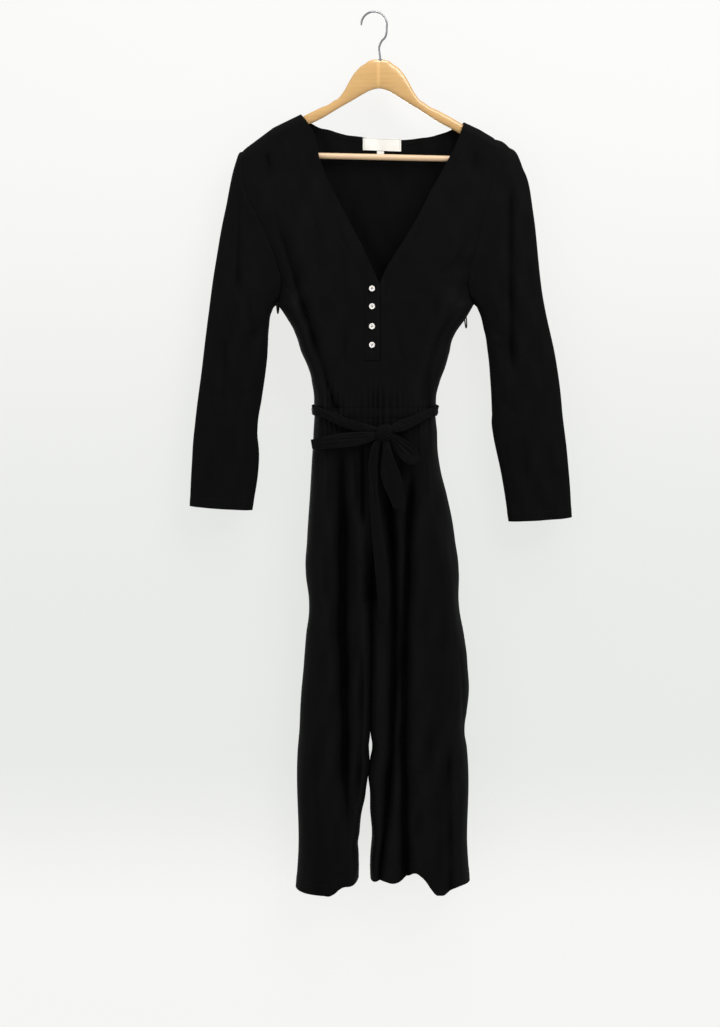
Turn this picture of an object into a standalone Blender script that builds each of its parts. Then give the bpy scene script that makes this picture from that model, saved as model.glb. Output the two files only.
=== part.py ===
"""Long-sleeved tie-waist jumpsuit hanging on a wooden hanger.

Frame: metres, +X to the right of someone facing the front, the front faces -Y, +Z up.
The origin is the inside top of the hanger's hook, where the hook rests on a rail or peg.
"drop" is the distance below that point, so z = -drop.  "left" is the -X side.

Every cloth piece is a solid wall under a grid of outer points.  The grids follow the cut:
rows run from the shoulder seam down, columns from one seam to the next, and panels that
share a seam share its points, so the seams stay one even gap wide.
"""

from collections import namedtuple
from math import atan2, cos, hypot, pi, radians, sin, sqrt

import bmesh
import bpy
import numpy as np
from mathutils import Vector

# ---------------------------------------------------------------- driving dimensions
CLOTH_WALL = 0.0012          # crepe cloth, one layer
BELT_WALL = 0.0016           # belt cloth, two layers pressed together
SEAM_GAP = 0.0003            # clearance between neighbouring solids
NECK_LEFT = (-0.112, 0.152)          # x, drop of the neck end of the left shoulder seam
NECK_RIGHT = (0.138, 0.164)
SHOULDER_KNOT_LEFT = (-0.154, 0.172)  # the seam bends a little over the hanger here
SHOULDER_KNOT_RIGHT = (0.162, 0.175)
TIP_LEFT = (-0.202, 0.207)           # armhole end of the left shoulder seam
TIP_RIGHT = (0.186, 0.189)
UNDERARM_LEFT = (-0.150, 0.443)
UNDERARM_RIGHT = (0.156, 0.443)
UNDERARM_Y = 0.003
SIDE_SEAM_Y = 0.002
V_FOOT = (0.009, 0.4105)             # where the fronts cross and the button stand starts
WAIST_TOP = 0.600                    # seam between bodice and waist casing
WAIST_BOTTOM = 0.616                 # seam between waist casing and trousers
JUST_ABOVE_WAIST = 0.5999            # where the bodice's last form is read
CROTCH = (-0.003, 0.905)
CROTCH_Y = 0.004
CROTCH_CURVE = 0.150                 # height over which the centre seams run in under the body
SHOULDER_REACH = 0.013               # how far below the hanger the cloth hangs clear of it
CHEST_EDGE = 0.060                   # width of the soft turn at the armholes
SIDE_EDGE = 0.030                    # width of the round turn at the side seams
LEG_SIDE_EDGE = 0.028
CENTRE_EDGE = 0.020                  # width of the turn into the centre seam
INSEAM_EDGE = 0.014
HEM_ROW = 1.385                      # trouser rows are even down to here, then meet the hem

# ---------------------------------------------------------------- row and column counts
ARM_ROWS = 11                # rows from shoulder seam to underarm
LOWER_ROWS = 7               # rows from underarm to waist
FRONT_COLUMNS = 20           # four to each waist gather
BACK_SHOULDER_COLUMNS = 4
BACK_NECK_COLUMNS = 14
SLEEVE_RINGS = 10
LEG_FRONT_COLUMNS = 20
LEG_BACK_COLUMNS = 14

Material = namedtuple("Material", "name colour roughness metallic")
CREPE = Material("black crepe", (0.012, 0.012, 0.013), 0.85, 0.0)
PEARL = Material("pearl button", (0.78, 0.76, 0.72), 0.25, 0.0)
LABEL = Material("white woven label", (0.80, 0.78, 0.73), 0.8, 0.0)
BEECH = Material("varnished beech", (0.66, 0.36, 0.13), 0.28, 0.0)
PALE_ROD = Material("pale rod wood", (0.72, 0.48, 0.30), 0.45, 0.0)
STEEL = Material("plated steel", (0.62, 0.63, 0.65), 0.22, 1.0)

# ---------------------------------------------------------------- outlines
Side = namedtuple("Side", "drop left right")
BODY_SIDES = (
    Side(0.443, -0.150, 0.156), Side(0.465, -0.135, 0.143), Side(0.490, -0.122, 0.126),
    Side(0.515, -0.114, 0.119), Side(0.540, -0.103, 0.112), Side(0.565, -0.097, 0.103),
    Side(0.600, -0.094, 0.098), Side(0.640, -0.095, 0.100), Side(0.690, -0.098, 0.104),
    Side(0.740, -0.101, 0.116), Side(0.815, -0.106, 0.130), Side(0.865, -0.108, 0.136),
    Side(0.910, -0.103, 0.136), Side(0.965, -0.108, 0.145), Side(1.015, -0.112, 0.151),
    Side(1.090, -0.118, 0.150), Side(1.115, -0.119, 0.147), Side(1.150, -0.122, 0.151),
    Side(1.330, -0.122, 0.153), Side(1.385, -0.126, 0.157),
)
Inseam = namedtuple("Inseam", "drop left right")
INSEAMS = (
    Inseam(0.905, -0.0050, -0.0010), Inseam(0.930, -0.0050, -0.0014),
    Inseam(0.980, -0.0048, -0.0034), Inseam(1.100, -0.0053, -0.0041),
    Inseam(1.158, -0.0056, -0.0042), Inseam(1.190, -0.0068, -0.0054),
    Inseam(1.222, -0.0105, -0.0070), Inseam(1.244, -0.0130, -0.0060),
    Inseam(1.261, -0.0165, -0.0060), Inseam(1.285, -0.0198, -0.0045),
    Inseam(1.307, -0.0214, -0.0030), Inseam(1.327, -0.0240, -0.0038),
    Inseam(1.344, -0.0230, -0.0052), Inseam(1.385, -0.0230, -0.0052),
)
Hem = namedtuple("Hem", "x drop")
HEM_LEFT = (
    Hem(-0.126, 1.3790), Hem(-0.106, 1.3795), Hem(-0.080, 1.3830), Hem(-0.063, 1.3795),
    Hem(-0.053, 1.3710), Hem(-0.038, 1.3670), Hem(-0.023, 1.3615),
)
HEM_RIGHT = (
    Hem(-0.006, 1.3640), Hem(0.018, 1.3605), Hem(0.040, 1.3615), Hem(0.055, 1.3530),
    Hem(0.078, 1.3525), Hem(0.086, 1.3620), Hem(0.094, 1.3735), Hem(0.107, 1.3815),
    Hem(0.121, 1.3765), Hem(0.130, 1.3705), Hem(0.157, 1.3670),
)
Rail = namedtuple("Rail", "drop x")
NECK_EDGE_LEFT = (
    Rail(0.152, -0.112), Rail(0.164, -0.102), Rail(0.221, -0.083), Rail(0.282, -0.055),
    Rail(0.316, -0.037), Rail(0.384, -0.003), Rail(0.4105, 0.009),
)
NECK_EDGE_RIGHT = (
    Rail(0.164, 0.138), Rail(0.183, 0.131), Rail(0.229, 0.109), Rail(0.267, 0.088),
    Rail(0.327, 0.056), Rail(0.366, 0.031), Rail(0.397, 0.014), Rail(0.4105, 0.009),
)
ARMHOLE_LEFT = (
    Rail(0.207, -0.202), Rail(0.235, -0.2025), Rail(0.272, -0.197), Rail(0.305, -0.181),
    Rail(0.342, -0.164), Rail(0.383, -0.149), Rail(0.420, -0.144), Rail(0.443, -0.150),
)
ARMHOLE_RIGHT = (
    Rail(0.189, 0.186), Rail(0.229, 0.183), Rail(0.269, 0.177), Rail(0.310, 0.168),
    Rail(0.361, 0.156), Rail(0.400, 0.147), Rail(0.425, 0.148), Rail(0.443, 0.156),
)
NeckPoint = namedtuple("NeckPoint", "x drop")
BACK_NECK = (
    NeckPoint(-0.112, 0.152), NeckPoint(-0.106, 0.158), NeckPoint(-0.096, 0.165), NeckPoint(-0.068, 0.175),
    NeckPoint(-0.021, 0.185), NeckPoint(0.017, 0.188), NeckPoint(0.072, 0.187),
    NeckPoint(0.102, 0.181), NeckPoint(0.121, 0.174), NeckPoint(0.132, 0.169),
    NeckPoint(0.138, 0.164),
)
CENTRE_SEAM = (Rail(0.616, 0.004), Rail(0.740, 0.002), Rail(0.905, -0.003))

# ---------------------------------------------------------------- depths
Depth = namedtuple("Depth", "drop front back")
BODY_DEPTHS = (
    Depth(0.160, 0.0125, 0.0120), Depth(0.205, 0.0130, 0.0125), Depth(0.270, 0.0190, 0.0165),
    Depth(0.330, 0.0250, 0.0210), Depth(0.390, 0.0290, 0.0245), Depth(0.450, 0.0325, 0.0265),
    Depth(0.510, 0.0355, 0.0280), Depth(0.560, 0.0385, 0.0300), Depth(0.616, 0.0420, 0.0320),
    Depth(0.700, 0.0440, 0.0340), Depth(0.900, 0.0430, 0.0310), Depth(1.100, 0.0420, 0.0300),
    Depth(1.385, 0.0450, 0.0320),
)
ARMHOLE_DEPTHS = (
    Depth(0.190, 0.0125, 0.0120), Depth(0.240, 0.0145, 0.0135), Depth(0.290, 0.0175, 0.0155),
    Depth(0.340, 0.0185, 0.0165), Depth(0.380, 0.0165, 0.0155), Depth(0.415, 0.0105, 0.0120),
    Depth(0.435, 0.0030, 0.0070), Depth(0.443, -0.0030, 0.0030),
)
Ring = namedtuple("Ring", "outer_x outer_drop inner_x inner_drop front back")
SLEEVE_LEFT = (
    Ring(-0.202, 0.207, -0.150, 0.443, 0.018, 0.016),
    Ring(-0.213, 0.225, -0.158, 0.453, 0.019, 0.017),
    Ring(-0.228, 0.290, -0.163, 0.478, 0.021, 0.018),
    Ring(-0.243, 0.365, -0.165, 0.510, 0.021, 0.017),
    Ring(-0.257, 0.455, -0.168, 0.543, 0.020, 0.015),
    Ring(-0.269, 0.545, -0.175, 0.590, 0.019, 0.014),
    Ring(-0.280, 0.625, -0.182, 0.640, 0.018, 0.013),
    Ring(-0.286, 0.690, -0.180, 0.690, 0.017, 0.012),
    Ring(-0.290, 0.758, -0.191, 0.765, 0.017, 0.012),
)
SLEEVE_RIGHT = (
    Ring(0.186, 0.189, 0.156, 0.443, 0.018, 0.016),
    Ring(0.207, 0.2010, 0.163, 0.453, 0.019, 0.017),
    Ring(0.229, 0.232, 0.171, 0.480, 0.021, 0.018),
    Ring(0.247, 0.305, 0.177, 0.512, 0.021, 0.017),
    Ring(0.262, 0.425, 0.182, 0.560, 0.020, 0.015),
    Ring(0.284, 0.525, 0.185, 0.610, 0.019, 0.014),
    Ring(0.297, 0.620, 0.187, 0.645, 0.018, 0.013),
    Ring(0.307, 0.700, 0.201, 0.710, 0.017, 0.012),
    Ring(0.313, 0.776, 0.213, 0.783, 0.017, 0.012),
)

# ---------------------------------------------------------------- folds
# A fold runs down through three points.  rise is how far it stands out, or in if negative.
Fold = namedtuple("Fold", "top middle bottom half_width rise")
FRONT_FOLDS = (
    Fold((-0.149, 0.318), (-0.106, 0.449), (-0.060, 0.600), 0.010, -0.0070),
    Fold((-0.164, 0.330), (-0.122, 0.455), (-0.078, 0.600), 0.011, 0.0035),
    Fold((0.134, 0.440), (0.099, 0.500), (0.084, 0.600), 0.009, -0.0065),
    Fold((0.211, 0.235), (0.212, 0.400), (0.218, 0.575), 0.009, -0.0065),
    Fold((-0.207, 0.245), (-0.209, 0.340), (-0.212, 0.440), 0.008, -0.0045),
    Fold((-0.229, 0.480), (-0.232, 0.540), (-0.238, 0.610), 0.008, -0.0030),
)
BACK_FOLDS = (
    Fold((-0.120, 0.290), (-0.100, 0.440), (-0.072, 0.600), 0.012, -0.0050),
    Fold((-0.030, 0.420), (-0.034, 0.510), (-0.030, 0.600), 0.010, 0.0030),
    Fold((0.122, 0.300), (0.104, 0.450), (0.066, 0.600), 0.013, -0.0055),
    Fold((0.212, 0.250), (0.220, 0.420), (0.230, 0.600), 0.010, -0.0045),
    Fold((-0.214, 0.260), (-0.222, 0.420), (-0.236, 0.580), 0.009, -0.0050),
)
LEG_FRONT_FOLDS = (
    Fold((-0.048, 0.630), (-0.049, 0.850), (-0.041, 1.330), 0.015, -0.0180),
    Fold((-0.018, 0.635), (-0.017, 0.720), (-0.018, 0.800), 0.007, -0.0070),
    Fold((0.018, 0.650), (0.030, 0.840), (0.009, 1.395), 0.009, -0.0150),
    Fold((0.061, 0.640), (0.054, 0.830), (0.053, 1.395), 0.010, -0.0160),
    Fold((0.100, 0.760), (0.126, 0.900), (0.137, 1.120), 0.009, 0.0040),
    Fold((0.132, 0.960), (0.141, 1.050), (0.143, 1.140), 0.006, -0.0060),
    Fold((0.118, 1.120), (0.121, 1.250), (0.123, 1.395), 0.008, -0.0050),
    Fold((-0.090, 0.900), (-0.092, 1.150), (-0.088, 1.395), 0.016, -0.0035),
)
LEG_BACK_FOLDS = (
    Fold((-0.066, 0.650), (-0.062, 0.950), (-0.070, 1.395), 0.014, -0.0120),
    Fold((-0.032, 0.700), (-0.034, 1.000), (-0.046, 1.395), 0.011, 0.0050),
    Fold((0.045, 0.640), (0.040, 0.940), (0.046, 1.395), 0.013, -0.0130),
    Fold((0.078, 0.720), (0.092, 1.000), (0.098, 1.395), 0.014, -0.0110),
    Fold((0.116, 0.900), (0.124, 1.100), (0.126, 1.395), 0.012, 0.0040),
)
GATHER_RISE = 0.0018         # half the height of a waist gather
GATHERS_PER_FRONT = 5
GATHERS_ACROSS_BACK = 5
GATHERS_PER_LEG_BACK = 4
GATHERS_ACROSS_CASING = 10   # on each side of the waist
CASING_RISE = 0.0008
GATHER_FADE_UP = 0.055       # how far above the waist the gathers still show
GATHER_FADE_DOWN = 0.090

# ---------------------------------------------------------------- button stand and buttons
PLACKET_X = (-0.0140, 0.0088)
PLACKET_DROPS = (0.4112, 0.5260)
PLACKET_LIFT = CLOTH_WALL + 2.0 * SEAM_GAP
BUTTON_X = -0.003
BUTTON_DROPS = (0.4168, 0.4440, 0.4745, 0.5030)
BUTTON_RADIUS = 0.0046
BUTTON_THICKNESS = 0.0022
BUTTON_RIM = 0.0009          # width of the raised rim

# ---------------------------------------------------------------- belt
# A strip is read from stations on its middle line.  width is across the strip and lean
# turns it out of the front's plane, positive when its right or lower edge comes forward.
Station = namedtuple("Station", "x y drop width lean")
BELT_LEFT = (
    Station(-0.0950, -0.0183, 0.6050, 0.016, 0.0), Station(-0.0918, -0.0280, 0.6050, 0.014, 0.0),
    Station(-0.0840, -0.0375, 0.6060, 0.012, 0.0), Station(-0.0740, -0.0450, 0.6085, 0.011, 0.1),
    Station(-0.0600, -0.0495, 0.6130, 0.011, 0.1), Station(-0.0380, -0.0515, 0.6220, 0.011, 0.1),
    Station(-0.0150, -0.0530, 0.6290, 0.012, 0.0), Station(0.0050, -0.0548, 0.6335, 0.011, 0.0),
)
BELT_RIGHT = (
    Station(0.0992, -0.0171, 0.6060, 0.016, 0.0), Station(0.0966, -0.0265, 0.6060, 0.014, 0.0),
    Station(0.0895, -0.0350, 0.6075, 0.013, 0.0), Station(0.0790, -0.0430, 0.6110, 0.013, 0.0),
    Station(0.0650, -0.0490, 0.6165, 0.013, 0.0), Station(0.0480, -0.0515, 0.6230, 0.013, 0.1),
    Station(0.0350, -0.0530, 0.6275, 0.012, 0.1), Station(0.0260, -0.0552, 0.6330, 0.011, 0.0),
)
LOOP_LEFT = (
    Station(0.0042, -0.0580, 0.6400, 0.009, 0.1), Station(-0.0140, -0.0585, 0.6430, 0.015, 0.1),
    Station(-0.0400, -0.0570, 0.6455, 0.018, 0.1), Station(-0.0660, -0.0540, 0.6500, 0.017, 0.0),
    Station(-0.0850, -0.0460, 0.6560, 0.015, 0.0), Station(-0.0960, -0.0330, 0.6590, 0.012, 0.0),
)
LOOP_RIGHT = (
    Station(0.0268, -0.0580, 0.6400, 0.012, 0.3), Station(0.0370, -0.0600, 0.6475, 0.021, 0.3),
    Station(0.0480, -0.0610, 0.6560, 0.026, 0.1), Station(0.0590, -0.0595, 0.6650, 0.022, -0.2),
    Station(0.0670, -0.0570, 0.6720, 0.010, -0.3),
)
TAIL_SHORT = (
    Station(0.0180, -0.0570, 0.6466, 0.009, 0.1), Station(0.0200, -0.0610, 0.6650, 0.014, 0.3),
    Station(0.0250, -0.0600, 0.6900, 0.018, 0.2), Station(0.0330, -0.0585, 0.7220, 0.017, 0.1),
    Station(0.0385, -0.0575, 0.7480, 0.016, 0.0),
)
TAIL_LONG = (
    Station(0.0098, -0.0560, 0.6456, 0.008, -0.1), Station(0.0005, -0.0570, 0.6700, 0.014, -0.2),
    Station(-0.0005, -0.0560, 0.7150, 0.014, -0.1), Station(0.0030, -0.0555, 0.7650, 0.016, 0.0),
    Station(0.0085, -0.0560, 0.8200, 0.019, 0.1), Station(0.0135, -0.0575, 0.8750, 0.019, 0.2),
    Station(0.0155, -0.0585, 0.9150, 0.016, 0.3), Station(0.0165, -0.0590, 0.9400, 0.008, 0.3),
)
KNOT_CENTRE = (0.0155, -0.0565, 0.6370)
KNOT_SIZE = (0.0265, 0.0165, 0.0215)
STRIP_COLUMNS = 4
STRIP_CROWN = 0.0015          # how far a strip bulges between its edges
BELT_BACK_HEIGHT = 0.020
BELT_BACK_DROP = 0.606

# ---------------------------------------------------------------- label
LABEL_X = (-0.017, 0.042)
LABEL_DROPS = (0.1865, 0.2055)
LABEL_WALL = 0.0010
LABEL_SLOPE = 0.035          # the label hangs a little askew
TAB_X = (0.0050, 0.0155)
TAB_DROPS = (0.2059, 0.2175)

# ---------------------------------------------------------------- hanger
HANGER_X = 0.008             # middle of the hanger, from the hook's seat
HANGER_TILT = radians(1.3)   # the right arm hangs lower
HANGER_THICKNESS = 0.0115
HANGER_AROUND = 12           # points round one section of the wood
Arm = namedtuple("Arm", "out top bottom")
ARM = (
    Arm(0.000, 0.0700, 0.1145), Arm(0.010, 0.0702, 0.1150), Arm(0.022, 0.0768, 0.1220),
    Arm(0.034, 0.0865, 0.1305), Arm(0.045, 0.1020, 0.1365), Arm(0.055, 0.1195, 0.1420),
    Arm(0.070, 0.1335, 0.1510), Arm(0.090, 0.1440, 0.1645), Arm(0.110, 0.1540, 0.1715),
    Arm(0.130, 0.1648, 0.1820), Arm(0.150, 0.1740, 0.1925), Arm(0.164, 0.1820, 0.2010),
    Arm(0.172, 0.1867, 0.2180), Arm(0.185, 0.1950, 0.2230), Arm(0.197, 0.2050, 0.2220),
    Arm(0.203, 0.2135, 0.2190),
)
BAR_DROP = 0.2165
BAR_RADIUS = 0.0046
BAR_HALF = 0.1685
HOOK_RADIUS = 0.0016
HOOK_BEND = 0.0195           # radius of the hook's middle line
HOOK_CENTRE = (0.000, 0.0179)

IndexedRing = namedtuple("IndexedRing", ("number",) + Ring._fields)
IndexedStation = namedtuple("IndexedStation", ("number",) + Station._fields)
PathKnot = namedtuple("PathKnot", "number x drop")


# ================================================================ small maths
def smooth_step(start, end, value):
    """0 before start, 1 after end, and a smooth ramp between."""
    share = np.clip((value - start) / (end - start), 0.0, 1.0)
    return share * share * (3.0 - 2.0 * share)


def along(rows, key, value, at):
    """Read a table as a smooth curve: column `value` against column `key`."""
    knots = np.array([getattr(row, key) for row in rows])
    heights = np.array([getattr(row, value) for row in rows])
    slopes = np.gradient(heights, knots)
    at = np.clip(at, knots[0], knots[-1])
    cell = np.clip(np.searchsorted(knots, at, side="right") - 1, 0, len(knots) - 2)
    width = knots[cell + 1] - knots[cell]
    share = (at - knots[cell]) / width
    low = heights[cell] + share * slopes[cell] * width
    high = heights[cell + 1] - (1.0 - share) * slopes[cell + 1] * width
    blend = share * share * (3.0 - 2.0 * share)
    return low * (1.0 - blend) + high * blend


def fold_height(folds, x, drop):
    """Sum of the folds at a place on the cloth."""
    total = 0.0 * x
    for fold in folds:
        (x0, top), (x1, middle), (x2, bottom) = fold.top, fold.middle, fold.bottom
        lower = (drop - top) * (drop - middle) / ((bottom - top) * (bottom - middle))
        centre = (drop - top) * (drop - bottom) / ((middle - top) * (middle - bottom))
        upper = (drop - middle) * (drop - bottom) / ((top - middle) * (top - bottom))
        line = x0 * upper + x1 * centre + x2 * lower
        fade = 0.22 * (bottom - top)
        strength = smooth_step(top, top + fade, drop)
        if bottom < HEM_ROW and abs(bottom - WAIST_TOP) > 1e-6:
            strength = strength * (1.0 - smooth_step(bottom - fade, bottom, drop))
        total = total + fold.rise * strength * np.exp(-(((x - line) / fold.half_width) ** 2))
    return total


def edge_drop(distance, radius, roundness):
    """1 at an edge, falling to 0 at `radius` from it; roundness 1 gives a round corner."""
    left = 1.0 - np.clip(distance / radius, 0.0, 1.0)
    soft = left * left
    arc = 1.0 - np.sqrt(np.clip(1.0 - left * left, 0.0, 1.0))
    return soft * (1.0 - roundness) + arc * roundness


# ================================================================ the cloth's surfaces
def shoulder_line(x):
    """Drop of the hanger line that the shoulder seams lie on, continued across the neck."""
    knots = (TIP_LEFT, SHOULDER_KNOT_LEFT, NECK_LEFT, NECK_RIGHT, SHOULDER_KNOT_RIGHT, TIP_RIGHT)
    return np.interp(x, [knot[0] for knot in knots], [knot[1] for knot in knots])


def over_shoulder(x, drop):
    """0 on the shoulder line, 1 once the cloth hangs clear of the hanger."""
    left = 1.0 - np.clip((drop - shoulder_line(x)) / SHOULDER_REACH, 0.0, 1.0)
    return np.sqrt(1.0 - left * left)


def bodice_depth(x, drop, is_front):
    """Distance of the bodice from the hanger's plane."""
    column = "front" if is_front else "back"
    plateau = along(BODY_DEPTHS, "drop", column, drop)
    armhole = along(ARMHOLE_DEPTHS, "drop", column, drop)
    side_y = -SIDE_SEAM_Y if is_front else SIDE_SEAM_Y
    below_arm = smooth_step(UNDERARM_LEFT[1] - 0.008, UNDERARM_LEFT[1] + 0.009, drop)
    edge_depth = armhole * (1.0 - below_arm) + side_y * below_arm
    roundness = smooth_step(UNDERARM_LEFT[1] - 0.063, UNDERARM_LEFT[1] + 0.027, drop)
    radius = CHEST_EDGE + (SIDE_EDGE - CHEST_EDGE) * roundness
    left = np.where(drop < UNDERARM_LEFT[1], along(ARMHOLE_LEFT, "drop", "x", drop),
                    along(BODY_SIDES, "drop", "left", drop))
    right = np.where(drop < UNDERARM_RIGHT[1], along(ARMHOLE_RIGHT, "drop", "x", drop),
                     along(BODY_SIDES, "drop", "right", drop))
    near_left = edge_drop(x - left, radius, roundness)
    near_right = edge_drop(right - x, radius, roundness)
    height = plateau + (edge_depth - plateau) * (near_left + near_right)
    folds = FRONT_FOLDS if is_front else BACK_FOLDS
    settled = (1.0 - near_left) * (1.0 - near_right)
    height = height + fold_height(folds, x, drop) * settled
    return height * over_shoulder(x, drop)


def leg_depth(x, drop, left, right, is_front, is_left):
    """Distance of a trouser leg's wall from the hanger's plane, between its two seams."""
    column = "front" if is_front else "back"
    sign = -1.0 if is_front else 1.0
    plateau = along(BODY_DEPTHS, "drop", column, drop)
    centre = centre_seam_depth(drop, is_front)
    outer = x - left if is_left else right - x
    inner = right - x if is_left else x - left
    on_leg = smooth_step(CROTCH[1] - 0.010, CROTCH[1] + 0.020, drop)
    near_side = edge_drop(outer, LEG_SIDE_EDGE, 1.0)
    near_inner = edge_drop(inner, CENTRE_EDGE + (INSEAM_EDGE - CENTRE_EDGE) * on_leg, on_leg)
    folds = LEG_FRONT_FOLDS if is_front else LEG_BACK_FOLDS
    settled = (1.0 - near_side) * (1.0 - near_inner)
    height = plateau + (sign * SIDE_SEAM_Y - plateau) * near_side
    height = height + (centre - plateau) * near_inner
    return height + fold_height(folds, x, drop) * settled


def centre_seam_depth(drop, is_front):
    """Depth of the centre front or back seam, which runs in under the crotch."""
    column = "front" if is_front else "back"
    sign = -1.0 if is_front else 1.0
    plateau = along(BODY_DEPTHS, "drop", column, drop)
    fall = smooth_step(CROTCH[1] - CROTCH_CURVE, CROTCH[1], drop) ** 2
    return plateau * (1.0 - fall) + sign * CROTCH_Y * fall


# ================================================================ walls from grids
class Panel:
    """A grid of outer points that becomes one closed cloth wall."""

    def __init__(self, name, points, flip=False, closed=False, seams=(), wall=CLOTH_WALL):
        self.name = name
        self.points = np.array(points, dtype=float)
        self.closed = closed
        self.seams = seams
        self.wall = wall
        self.normals = self.natural_normals(-1.0 if flip else 1.0)

    def natural_normals(self, sign):
        down = np.gradient(self.points, axis=0)
        if self.closed:
            across = np.roll(self.points, -1, axis=1) - np.roll(self.points, 1, axis=1)
        else:
            across = np.gradient(self.points, axis=1)
        normal = sign * np.cross(down, across)
        return unit(normal)

    def border(self):
        """Grid places on the border, as (row, column)."""
        rows, columns = self.points.shape[:2]
        places = [(0, c) for c in range(columns)] + [(rows - 1, c) for c in range(columns)]
        if not self.closed:
            places += [(r, 0) for r in range(1, rows - 1)]
            places += [(r, columns - 1) for r in range(1, rows - 1)]
        return places

    def inset_seams(self):
        """Move the seamed edges back by half a gap, square to the seam and to the wall."""
        moved = self.points.copy()
        edges = {
            "top": ((0, slice(None)), (1, slice(None))),
            "bottom": ((-1, slice(None)), (-2, slice(None))),
            "first": ((slice(None), 0), (slice(None), 1)),
            "last": ((slice(None), -1), (slice(None), -2)),
        }
        for seam in self.seams:
            rim, inner = edges[seam]
            line = self.points[rim]
            tangent = unit(np.gradient(line, axis=0))
            square = unit(np.cross(self.normals[rim], tangent))
            inward = self.points[inner] - line
            side = np.sign(np.sum(square * inward, axis=-1, keepdims=True))
            moved[rim] = moved[rim] + square * side * (0.5 * SEAM_GAP)
        self.points = moved

    def build(self, collection, material):
        """Make the wall: outer grid, inner grid and a rim between them."""
        rows, columns = self.points.shape[:2]
        outer = self.points.reshape(-1, 3)
        inner = (self.points - self.normals * self.wall).reshape(-1, 3)
        count = rows * columns
        wrap = columns if self.closed else columns - 1
        faces = []
        for row in range(rows - 1):
            for column in range(wrap):
                a = row * columns + column
                b = row * columns + (column + 1) % columns
                c, d = b + columns, a + columns
                faces.append((a, d, c, b))
                faces.append((a + count, b + count, c + count, d + count))
        loops = self.rim_loops(rows, columns)
        for loop, is_ring in loops:
            steps = len(loop) if is_ring else len(loop) - 1
            for step in range(steps):
                a, b = loop[step], loop[(step + 1) % len(loop)]
                faces.append((a, b, b + count, a + count))
        return mesh_object(self.name, np.vstack((outer, inner)), faces, collection, material)

    def rim_loops(self, rows, columns):
        top = list(range(columns))
        bottom = [(rows - 1) * columns + column for column in range(columns)]
        if self.closed:
            return [(top, True), (bottom[::-1], True)]
        last = [row * columns + columns - 1 for row in range(rows)]
        first = [row * columns for row in range(rows)]
        return [(top + last[1:] + bottom[-2::-1] + first[-2:0:-1], True)]


def unit(vectors):
    lengths = np.linalg.norm(vectors, axis=-1, keepdims=True)
    return vectors / np.maximum(lengths, 1e-12)


def share_seam_normals(panels):
    """Give every border point the mean direction of all the panels that meet there."""
    sums = {}
    for panel in panels:
        for place in panel.border():
            key = tuple(np.round(panel.points[place], 6))
            sums[key] = sums.get(key, np.zeros(3)) + panel.normals[place]
    for panel in panels:
        for place in panel.border():
            key = tuple(np.round(panel.points[place], 6))
            if np.linalg.norm(sums[key]) > 0.2:
                panel.normals[place] = unit(sums[key])


def flatten_normals(panel, rim, axis):
    """Turn an edge's wall square to an axis, so that stacked edges stay parallel."""
    flat = panel.normals[rim].copy()
    flat[..., axis] = 0.0
    panel.normals[rim] = unit(flat)


def mesh_object(name, points, faces, collection, material, smooth_angle=50.0):
    """One closed mesh object with its faces pointing out."""
    mesh = bpy.data.meshes.new(name)
    mesh.from_pydata([tuple(point) for point in points], [], faces)
    build = bmesh.new()
    build.from_mesh(mesh)
    bmesh.ops.recalc_face_normals(build, faces=build.faces)
    build.to_mesh(mesh)
    build.free()
    mesh.shade_smooth()
    mesh.set_sharp_from_angle(angle=radians(smooth_angle))
    return add_object(name, mesh, collection, material)


def add_object(name, data, collection, material):
    item = bpy.data.objects.new(name, data)
    data.materials.append(finish(material))
    collection.objects.link(item)
    return item


def finish(look):
    """The Principled material for a finish, made once."""
    material = bpy.data.materials.get(look.name)
    if material is None:
        material = bpy.data.materials.new(look.name)
        material.use_nodes = True
        shader = material.node_tree.nodes["Principled BSDF"]
        shader.inputs["Base Color"].default_value = (*look.colour, 1.0)
        shader.inputs["Roughness"].default_value = look.roughness
        shader.inputs["Metallic"].default_value = look.metallic
    return material


# ================================================================ the bodice
def arm_shares():
    """Row positions from shoulder to underarm, closer together at both ends."""
    return [(1.0 - cos(pi * row / ARM_ROWS)) / 2.0 for row in range(ARM_ROWS + 1)]


def lower_shares():
    """Row positions from underarm to waist, closer together at the waist."""
    return [sin(0.5 * pi * row / LOWER_ROWS) for row in range(1, LOWER_ROWS + 1)]


def spread(share, closeness=0.55):
    """Column positions, closer together towards both seams."""
    return share - closeness * sin(2.0 * pi * share) / (2.0 * pi)


def gather_wave(share, gathers, phase):
    """Height of the waist gathers across one panel, from -1 to 1."""
    drift = 0.35 * sin(2.0 * pi * share + phase)
    fade = min(1.0, 8.0 * share, 8.0 * (1.0 - share))
    return fade * sin(2.0 * pi * gathers * share + drift)


def bodice_gather(drop, share, gathers, phase):
    near = smooth_step(WAIST_TOP - GATHER_FADE_UP, WAIST_TOP - 0.010, drop)
    return GATHER_RISE * near * gather_wave(share, gathers, phase)


def shoulder_point(share, tip, knot, neck):
    """A point on a shoulder seam, 0 at the armhole and 1 at the neck."""
    if share <= 0.5:
        mix = share / 0.5
        return tip[0] + (knot[0] - tip[0]) * mix, tip[1] + (knot[1] - tip[1]) * mix
    mix = (share - 0.5) / 0.5
    return knot[0] + (neck[0] - knot[0]) * mix, knot[1] + (neck[1] - knot[1]) * mix


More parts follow.
